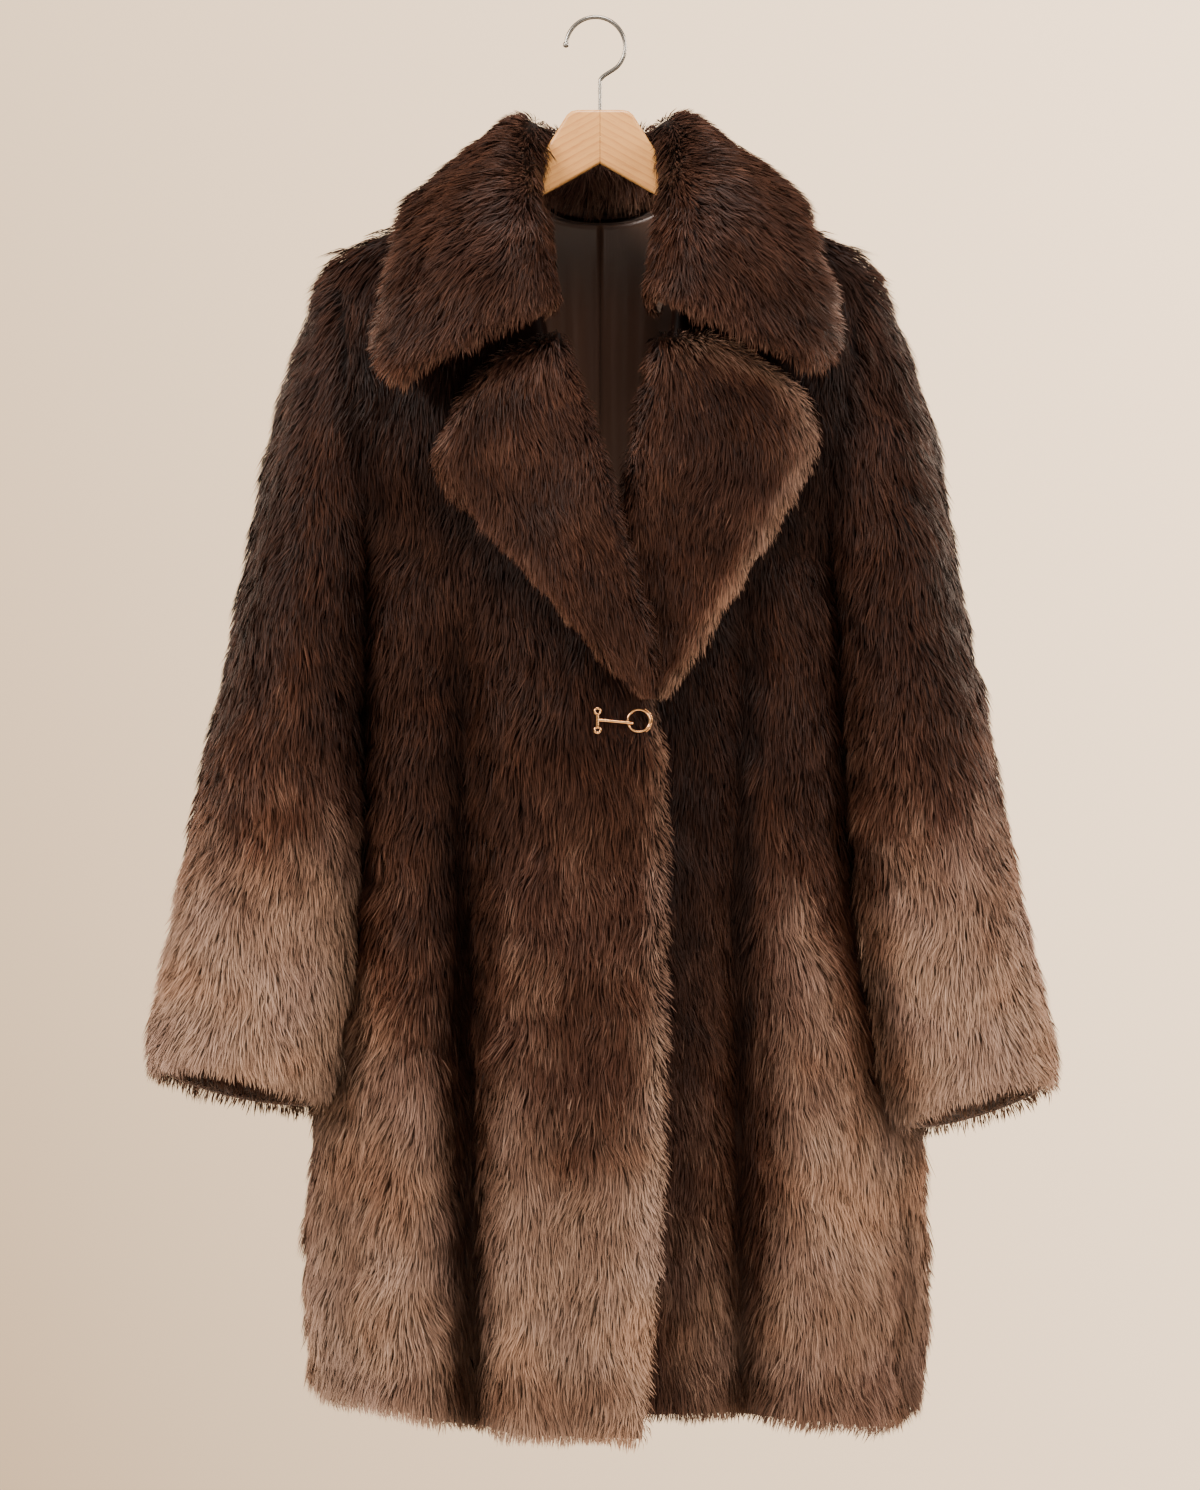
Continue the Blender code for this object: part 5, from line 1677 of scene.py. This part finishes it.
# --- Sub-assemblies ---------------------------------------------------------------
@dataclass
class FurCoat:
    """The fur panels."""

    finishes: Finishes  # the coat's materials

    def front(self, side: Side, seed: int, rim_light: float) -> Panel:
        """One front, open along its edge."""
        cover = FrontCover(side)
        return Panel(
            f"front_{side.word}",
            partial(front, side),
            [f"hanger_arm_{side.word}"],
            laid=(0.330, 0.960),
            cells=(30, 52),
            strands=76000,
            seed=seed,
            tone=body_tone,
            pile=Pile(length=0.023, height=0.0095, lock=0.008, comb=0.6, lean=0.45),
            edges=Edges(start=True, reach=0.016, turn=0.007),
            dense=cover.shown,
            low=cover.low,
            shade=cover.shade,
            puff=front_puff,
            rim_light=rim_light,
            lined=0.012,
            power=ROW_SPREAD,
        )

    def back(self, seed: int) -> Panel:
        """The back."""
        return Panel(
            "back",
            back,
            ["hanger_arm_right", "hanger_arm_left"],
            laid=(0.600, 0.940),
            cells=(48, 46),
            strands=60000,
            seed=seed,
            tone=body_tone,
            pile=Pile(length=0.024, width=0.0014, height=0.0100, lock=0.009, comb=0.6),
            edges=Edges(),
            dense=seen_on_back,
            low=ridge_low,
            puff=sleeve_puff,
            lined=0.012,
            power=ROW_SPREAD,
        )

    def sleeve(self, side: Side, seed: int) -> Panel:
        """One sleeve, with its pile turned in at the cuff."""
        return Panel(
            f"sleeve_{side.word}",
            partial(sleeve, side),
            [f"front_{side.word}_skin", "back_skin"],
            laid=(0.360, 0.640),
            cells=(34, 42),
            strands=59000,
            seed=seed,
            tone=sleeve_tone,
            pile=Pile(comb=0.9),
            edges=Edges(reach=0.016, turn=0.005),
            dense=seen_on_sleeve,
            # Painted shade in the gap between the sleeve and the body
            shade=beside_sleeve,
            puff=sleeve_puff,
            lined=0.055,
            tube=True,
        )

    def collar(self, seed: int) -> Panel:
        """The collar, free all round but for its seam at the neck."""
        return Panel(
            "collar",
            collar,
            ["back_skin", "front_right_skin", "front_left_skin"],
            laid=(0.620, 0.200),
            cells=(64, 20),
            strands=66000,
            seed=seed,
            tone=collar_tone,
            pile=Pile(height=0.0115, lock=0.009, gather=0.32, comb=0.9, root=0.0050, stray=0.26),
            edges=Edges(start=True, end=True, top=True, reach=0.018, turn=0.006),
            dense=seen_on_collar,
            low=collar_low,
            puff=collar_puff,
            rim_light=0.26,
            part=0.26,
            swell=0.0035,
            slot="collar_fur",
        )

    def lapel(self, side: Side, seed: int, rim_light: float) -> Panel:
        """One lapel."""
        return Panel(
            f"lapel_{side.word}",
            partial(lapel, side),
            [f"front_{side.word}_skin"],
            laid=(0.150, 0.280),
            cells=(16, 28),
            strands=20000,
            seed=seed,
            tone=collar_tone,
            pile=Pile(length=0.020, height=0.0085, lock=0.008, comb=1.4, stray=0.22),
            edges=Edges(start=True, end=True, top=True, reach=0.014, turn=0.007, fan=0.25),
            low=lapel_low,
            rim_light=rim_light,
            rim_light_lean=1.0,
            slot="collar_fur",
        )

    def build(self) -> None:
        """Make every panel."""
        panels = [
            self.front(Side.RIGHT, 100, rim_light=0.50),
            self.front(Side.LEFT, 200, rim_light=0.05),
            self.back(300),
            self.sleeve(Side.RIGHT, 400),
            self.sleeve(Side.LEFT, 500),
            self.collar(600),
            self.lapel(Side.RIGHT, 700, rim_light=0.26),
            self.lapel(Side.LEFT, 800, rim_light=0.60),
        ]
        for one in panels:
            one.build(self.finishes)


@dataclass
class SatinLining:
    """The two halves of the back lining, with soft folds and a centre seam."""

    satin: bpy.types.Material  # its material
    cells: tuple[int, int] = (56, 32)  # columns and rows of each half's grid
    top: float = -0.165  # height where it starts to hang free
    folds: Table = field(  # where each soft fold hangs, and how wide and how deep it is
        default_factory=lambda: table(
            "x half_width rise",
            (-0.17, 0.016, 0.005), (-0.118, 0.012, 0.007), (-0.072, 0.01, 0.0065),
            (-0.041, 0.007, 0.007), (-0.018, 0.006, 0.005), (0.014, 0.006, 0.0045),
            (0.034, 0.008, 0.0065), (0.066, 0.009, 0.0065), (0.112, 0.014, 0.007),
            (0.168, 0.015, 0.005),
        )
    )

    def place(self, side: Side, across: Array, down: Array, depth: Array) -> Array:
        """A place on the lining with its folds."""
        spot = lining(side, across, down, depth)
        x, z = spot[..., 0], spot[..., 2]
        rise = np.zeros(x.shape)
        for middle, half_width, height in zip(*self.folds.values()):
            drift = middle * (1 + 0.25 * (z + 0.2)) + 0.004 * np.sin(9 * z + 40 * middle)
            rise += height * hump((x, drift, half_width))
        hangs = below(z, self.top, 0.10) * ease((1 - across) / 0.06)
        seam = 0.0012 * hump((x, 0, 0.0025))
        spot[..., 1] -= rise * hangs + seam * below(z, self.top, 0.02)
        return spot

    def build(self) -> None:
        """Make both halves."""
        for side in Side:
            name = f"lining_{side.word}"
            bm = grid(*self.cells)
            extrude(bm, bm.faces[:], (0, 0, LINING_WALL))
            flat = np.array([vertex.co for vertex in bm.verts])
            move_to(bm, self.place(side, flat[:, 0] + 0.5, 0.5 - flat[:, 1], flat[:, 2]))
            bmesh.ops.recalc_face_normals(bm, faces=bm.faces[:])
            piece = new_piece(new_mesh(f"{name}_satin", bm), "satin", self.satin)
            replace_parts(piece, name)
            *flat, area = CUTS[name]
            log.info("%s: %d faces", piece.name, len(piece.data.polygons))


@dataclass
class WoodenHanger:
    """The hanger's two arms and its wire hook."""

    beech: bpy.types.Material  # the arms' material
    nickel: bpy.types.Material  # the hook's material
    thick: float = 0.012  # the arms' thickness
    bevel: float = 0.0025  # how far their edges are rounded
    # How far their tops lie below the shoulders' fur side
    under: float = WALL + LINING_GAP + LINING_WALL + ARM_PLAY
    top_from: float = 0.072  # how far out the straight top starts
    top_to: float = 0.164  # how far out it ends
    hump: Table = field(  # an arm's outline from the centre over its hump
        default_factory=lambda: table(
            "out height",
            (0.0, -0.0686), (0.017, -0.0686), (0.0215, -0.0696), (0.025, -0.0725),
            (0.044, -0.103), (0.05, -0.118), (0.053, -0.1386),
        )
    )
    tip_and_underside: Table = field(  # its outline round the tip and back to the centre
        default_factory=lambda: table(
            "out height",
            (0.171, -0.185), (0.173, -0.191), (0.17, -0.195), (0.164, -0.194),
            (0.08, -0.16), (0.053, -0.15), (0.0428, -0.1331), (0.0, -0.1091),
        )
    )
    wire: float = 0.0016  # half the thickness of the hook's wire
    ring: float = 0.0224  # half the width of the hook's round, at the wire's middle
    ring_x: float = -0.0034  # how far aside the round's middle lies
    ring_from: float = 176  # the angle of the wire's tip, in degrees
    ring_to: float = -38  # the angle where the wire leaves the round, in degrees
    bend: float = -0.0472  # height where the wire comes back over its shaft
    end: float = -0.0880  # height of the shaft's end, inside the arms
    ball: float = 0.0024  # half the width of the ball at the wire's tip

    def outline(self) -> list[tuple[float, float]]:
        """One arm's outline, from the centre over its hump to its tip and back below."""
        corners = list(zip(self.hump["out"], self.hump["height"]))
        for out in np.linspace(self.top_from, self.top_to, 4):
            corners.append((out, float(shoulder(out)) - self.under))
        corners += zip(self.tip_and_underside["out"], self.tip_and_underside["height"])
        return corners

    def arm(self, side: Side) -> None:
        """One arm, with rounded edges but where it meets the other."""
        bm = bmesh.new()
        front_y = -self.thick / 2
        places = [(side.value * (x + GAP / 2), front_y, z) for x, z in self.outline()]
        face = bm.faces.new([bm.verts.new(place) for place in places])
        extrude(bm, [face], (0, self.thick, 0))
        bmesh.ops.recalc_face_normals(bm, faces=bm.faces[:])
        rims = []
        for edge in bm.edges:
            one, other = (vertex.co for vertex in edge.verts)
            if abs(one.y - other.y) < 1e-6 and max(abs(one.x), abs(other.x)) > GAP:
                rims.append(edge)
        bmesh.ops.bevel(
            bm, geom=rims, offset=self.bevel, affect="EDGES", segments=5, profile=0.5, material=-1
        )
        mesh = new_mesh(f"arm_{side.word}_wood", bm)
        mesh.set_sharp_from_angle(angle=math.radians(35))
        piece = new_piece(mesh, "beech", self.beech)
        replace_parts(piece, f"hanger_arm_{side.word}")
        log.info("%s: %d faces", piece.name, len(mesh.polygons))

    def hook_line(self) -> list[Spot]:
        """The hook's middle line: its tip, most of a circle, the curl back and the shaft."""
        middle = self.wire - math.sqrt(self.ring**2 - self.ring_x**2)
        points = []
        for angle in np.radians(np.linspace(self.ring_from, self.ring_to, 60)):
            x, z = self.ring * math.cos(angle), self.ring * math.sin(angle)
            points.append((self.ring_x + x, 0.0, middle + z))
        leave = np.array(points[-1])
        turn = math.radians(self.ring_to)
        way = np.array([math.sin(turn), 0, -math.cos(turn)])
        reach = 0.5 * (leave[2] - self.bend)
        end = np.array([0, 0, self.bend])
        above = end + np.array([0, 0, 0.8 * reach])
        for part in np.linspace(0.06, 1, 16):
            rest = 1 - part
            spot = rest**3 * leave + 3 * rest**2 * part * (leave + way * reach)
            points.append(tuple(spot + 3 * rest * part**2 * above + part**3 * end))
        points.append((0.0, 0.0, self.end))
        return points

    def hook(self) -> None:
        """The wire hook with the ball at its tip."""
        line = self.hook_line()
        wire = wire_piece("hook_wire", [Wire(line, self.wire)], self.nickel, "nickel")
        bm = bmesh.new()
        bmesh.ops.create_uvsphere(bm, u_segments=32, v_segments=20, radius=self.ball)
        bmesh.ops.translate(bm, verts=bm.verts[:], vec=line[0])
        ball = new_piece(new_mesh("hook_ball", bm), "nickel", self.nickel)
        for piece in (wire, ball):
            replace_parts(piece, "hanger_hook")
        log.info("hook: %d points", len(line))

    def build(self) -> None:
        """Make the arms and the hook."""
        for side in Side:
            self.arm(side)
        self.hook()


@dataclass(frozen=True)
class Wire:
    """A round wire."""

    points: Sequence[Spot]  # places along its middle line
    radius: float  # half its thickness
    closed: bool = False  # whether it is a ring


def wire_piece(
    name: str, wires: Sequence[Wire], material: bpy.types.Material, slot: str
) -> bpy.types.Object:
    """Round wires as one piece.

    Args:
        name: The piece's name.
        wires: The wires.
        material: Its material.
        slot: Not used; handed on to new_piece.

    Returns:
        The piece.
    """
    curve = bpy.data.curves.new(name, "CURVE")
    curve.dimensions = "3D"
    curve.bevel_depth = 1.0
    curve.bevel_resolution = 5
    curve.use_fill_caps = True
    for wire in wires:
        line = curve.splines.new("POLY")
        line.points.add(len(wire.points) - 1)
        for point, spot in zip(line.points, wire.points):
            point.co = (*spot, 1)
            point.radius = wire.radius
        line.use_cyclic_u = wire.closed
        line.use_smooth = True
    return new_piece(curve, slot, material)


@dataclass
class Clasp:
    """The rose gold bar, ring and keeper on the right front."""

    rose_gold: bpy.types.Material  # its material
    height: float = CLASP_Z  # height of its middle
    sink: float = 0.0006  # how far it sinks in the pressed fur
    bar_x: float = -0.0018  # where the bar is
    bar_wire: float = 0.0014  # half the bar's thickness
    eyelet_step: float = 0.0062  # how far the eyelets lie from the middle, at the fur
    eyelet: float = 0.0021  # half an eyelet's width, at its wire's middle
    eyelet_wire: float = 0.0009  # half its wire's thickness
    rod_end: float = 0.0240  # where the rod ends, inside the ring
    rod_wire: float = 0.0011  # half the rod's thickness
    ring_x: float = 0.0288  # where the ring's middle is
    ring: float = 0.0082  # half the ring's width, at its wire's middle
    ring_wire: float = 0.0008  # half its wire's thickness
    keeper_wire: float = 0.0005  # half the keeper's thickness
    keeper_from: float = -58  # the angle where the keeper starts round the ring, in degrees
    keeper_to: float = 62  # the angle where it ends, in degrees

    def seat(self, x: float) -> float:
        """The foremost place of the fur's pressed side beside the clasp."""
        half = self.ring + self.ring_wire
        heights = np.linspace(self.height - half, self.height + half, 9)
        across = np.full(len(heights), x)
        fur = body(-1, Side.RIGHT.value, across, heights, -lap(across, heights))
        return float(np.min(fur)) + self.sink

    def loop(self, angles: Array, radius: float, wire: float) -> list[Spot]:
        """Points round the ring's middle at this radius."""
        points = []
        for angle in angles:
            x = self.ring_x + radius * math.cos(angle)
            points.append((x, self.seat(x) - wire, self.height + radius * math.sin(angle)))
        return points

    def bar_and_eyelets(self, y: float) -> list[Wire]:
        """The bar's wires at this place in front."""
        step = 0.75 * self.eyelet_step
        bar = [(self.bar_x, y, self.height + share * step) for share in np.linspace(1, -1, 8)]
        wires = [Wire(bar, self.bar_wire)]
        for way in (1, -1):
            middle = self.height + way * (step + self.eyelet + 0.2 * self.bar_wire)
            loop = []
            for angle in np.linspace(0, 2 * math.pi, 33)[:-1]:
                x = self.bar_x + self.eyelet * math.cos(angle)
                loop.append((x, y, middle + self.eyelet * math.sin(angle)))
            wires.append(Wire(loop, self.eyelet_wire, True))
        return wires

    def rod(self, y: float) -> Wire:
        """The rod from the bar, over the ring's wire and into the ring."""
        left = self.ring_x - self.ring
        over = self.seat(left) - 2 * self.ring_wire - GAP - self.rod_wire
        line = [
            (self.bar_x, y, self.height + 0.0005),
            (self.bar_x + 0.006, y - 0.0006, self.height),
            (left - 0.005, over + 0.0004, self.height - 0.0010),
            (left, over, self.height - 0.0014),
            (self.rod_end - 0.0012, over, self.height - 0.0018),
            (self.rod_end, over + 0.0006, self.height - 0.0019),
        ]
        return Wire(line, self.rod_wire)

    def build(self) -> None:
        """Make the bar with its eyelets and rod, the ring and its keeper."""
        bar_y = self.seat(self.bar_x) - self.bar_wire
        turns = np.linspace(0, 2 * math.pi, 97)[:-1]
        ring = self.loop(turns, self.ring, self.ring_wire)
        radius = self.ring + self.ring_wire + GAP + self.keeper_wire
        turns = np.radians(np.linspace(self.keeper_from, self.keeper_to, 48))
        keeper = self.loop(turns, radius, self.keeper_wire)
        for name, node, wires in (
            ("clasp_bar_and_rod", "clasp_bar", [*self.bar_and_eyelets(bar_y), self.rod(bar_y)]),
            ("clasp_ring_loop", "clasp_ring", [Wire(ring, self.ring_wire, True)]),
            ("clasp_keeper_loop", "clasp_keeper", [Wire(keeper, self.keeper_wire)]),
        ):
            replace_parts(wire_piece(name, wires, self.rose_gold, "rose_gold"), node)
            log.info("%s: %d wires", name, len(wires))


@dataclass(frozen=True)
class Lamp:
    """A square soft lamp that faces the coat."""

    name: str  # its name
    spot: Spot  # where it stands
    size: float  # its width
    watts: float  # its power
    colour: Colour  # its colour

    def build(self, middle: float) -> None:
        """Make it face the coat's middle, at this height."""
        light = bpy.data.lights.new(self.name, "AREA")
        light.size = self.size
        light.energy = self.watts
        light.color = self.colour
        lamp = put(self.name, light)
        lamp.location = self.spot
        way = np.array([0.0, 0.0, middle]) - np.array(self.spot)
        yaw = math.atan2(way[1], way[0]) - math.pi / 2
        pitch = math.atan2(math.hypot(way[0], way[1]), -way[2])
        lamp.rotation_euler = (pitch, 0, yaw)


@dataclass
class Studio:
    """The camera, the lights and a plain pale room."""

    distance: float = 6.0  # how far the camera stands in front of the coat
    frame_height: float = 1.1175  # height of what it sees, at the coat's fur
    middle: float = -0.5486  # height of its middle
    fur_y: float = -0.05  # where the front fur is
    floor: float = -1.50  # height of the floor
    # The floor's two pale colours
    floor_colours: tuple[Colour, Colour] = ((0.74, 0.70, 0.64), (0.80, 0.76, 0.70))
    air: Colour = (1.0, 0.93, 0.85)  # colour of the light all round
    air_light: float = 0.42  # its strength
    wall: Colour = (1.0, 0.73, 0.48)  # colour of the pale wall behind, at its upper right
    wall_low: Colour = (0.360, 0.246, 0.147)  # its colour at the lower left, away from the light
    wall_light: float = 3.3  # how bright the wall is
    lamps: tuple[Lamp, ...] = (  # the lamps
        Lamp("key", (-2.9, -2.6, 1.2), 1.2, 340.0, (1.0, 0.95, 0.89)),
        Lamp("fill", (3.0, -2.4, 0.5), 1.4, 170.0, (1.0, 0.94, 0.88)),
        Lamp("top", (0.2, -0.9, 1.9), 1.2, 150.0, (1.0, 0.95, 0.90)),
        Lamp("rim_left", (-1.9, 1.0, 0.2), 1.0, 45.0, (1.0, 0.82, 0.66)),
        Lamp("rim_right", (1.9, 0.8, 0.2), 1.0, 95.0, (1.0, 0.82, 0.66)),
    )

    def camera(self) -> None:
        """Straight in front, with a long lens."""
        lens = bpy.data.cameras.new("camera")
        lens.sensor_fit = "VERTICAL"
        lens.sensor_height = 24.0
        lens.lens = lens.sensor_height * self.distance / self.frame_height
        lens.clip_end = 50.0
        eye = put("camera", lens)
        eye.location = (0, self.fur_y - self.distance, self.middle)
        eye.rotation_euler = (math.radians(90), 0, 0)
        bpy.context.scene.camera = eye

    def ground_floor(self) -> None:
        """A pale floor."""
        bm = bmesh.new()
        bmesh.ops.create_grid(bm, x_segments=1, y_segments=1, size=2.3)
        bmesh.ops.translate(bm, verts=bm.verts[:], vec=(0, 0, self.floor))
        finish = Finish("pale_floor", Roughness=0.9)
        cloud = finish.nodes.noise(finish.nodes.place(), 0.8)
        finish.feed("Base Color", finish.nodes.blend(cloud, *self.floor_colours))
        mesh = new_mesh("floor", bm)
        mesh.materials.append(finish.material)
        put("floor", mesh)

    def room(self) -> None:
        """Pale light all round, and a pale wall behind that is brighter to the upper right."""
        world = bpy.data.worlds.new("pale_room")
        world.use_nodes = True
        nodes = Nodes(world.node_tree)
        seen = nodes.add("LightPath").outputs["Is Camera Ray"]
        way = nodes.add("TexCoord").outputs["Generated"]
        way = nodes.add("SeparateXYZ", Vector=way).outputs
        across = nodes.spread(way["X"], -0.075, 0.075, 0.62)
        up = nodes.spread(way["Z"], -0.093, 0.093, 0.38)
        wall = nodes.blend(nodes.maths("ADD", across, up), self.wall_low, self.wall)
        background = world.node_tree.nodes["Background"].inputs
        nodes.give(background["Color"], nodes.blend(seen, self.air, wall))
        more = nodes.maths("MULTIPLY", seen, self.wall_light - self.air_light)
        nodes.give(background["Strength"], nodes.maths("ADD", self.air_light, more))
        bpy.context.scene.world = world

    def build(self) -> None:
        """Set the camera, the room and the lamps."""
        self.camera()
        self.ground_floor()
        self.room()
        for lamp in self.lamps:
            lamp.build(self.middle)
        log.info("studio ready")


def main() -> None:
    """Build the coat, its hanger and the studio round them."""
    logging.basicConfig(level=logging.INFO, format="%(message)s")
    finishes = Finishes.make()
    FurCoat(finishes).build()
    SatinLining(finishes.satin).build()
    WoodenHanger(finishes.beech, finishes.nickel).build()
    Clasp(finishes.rose_gold).build()
    Studio().build()


if __name__ == "__main__":
    main()
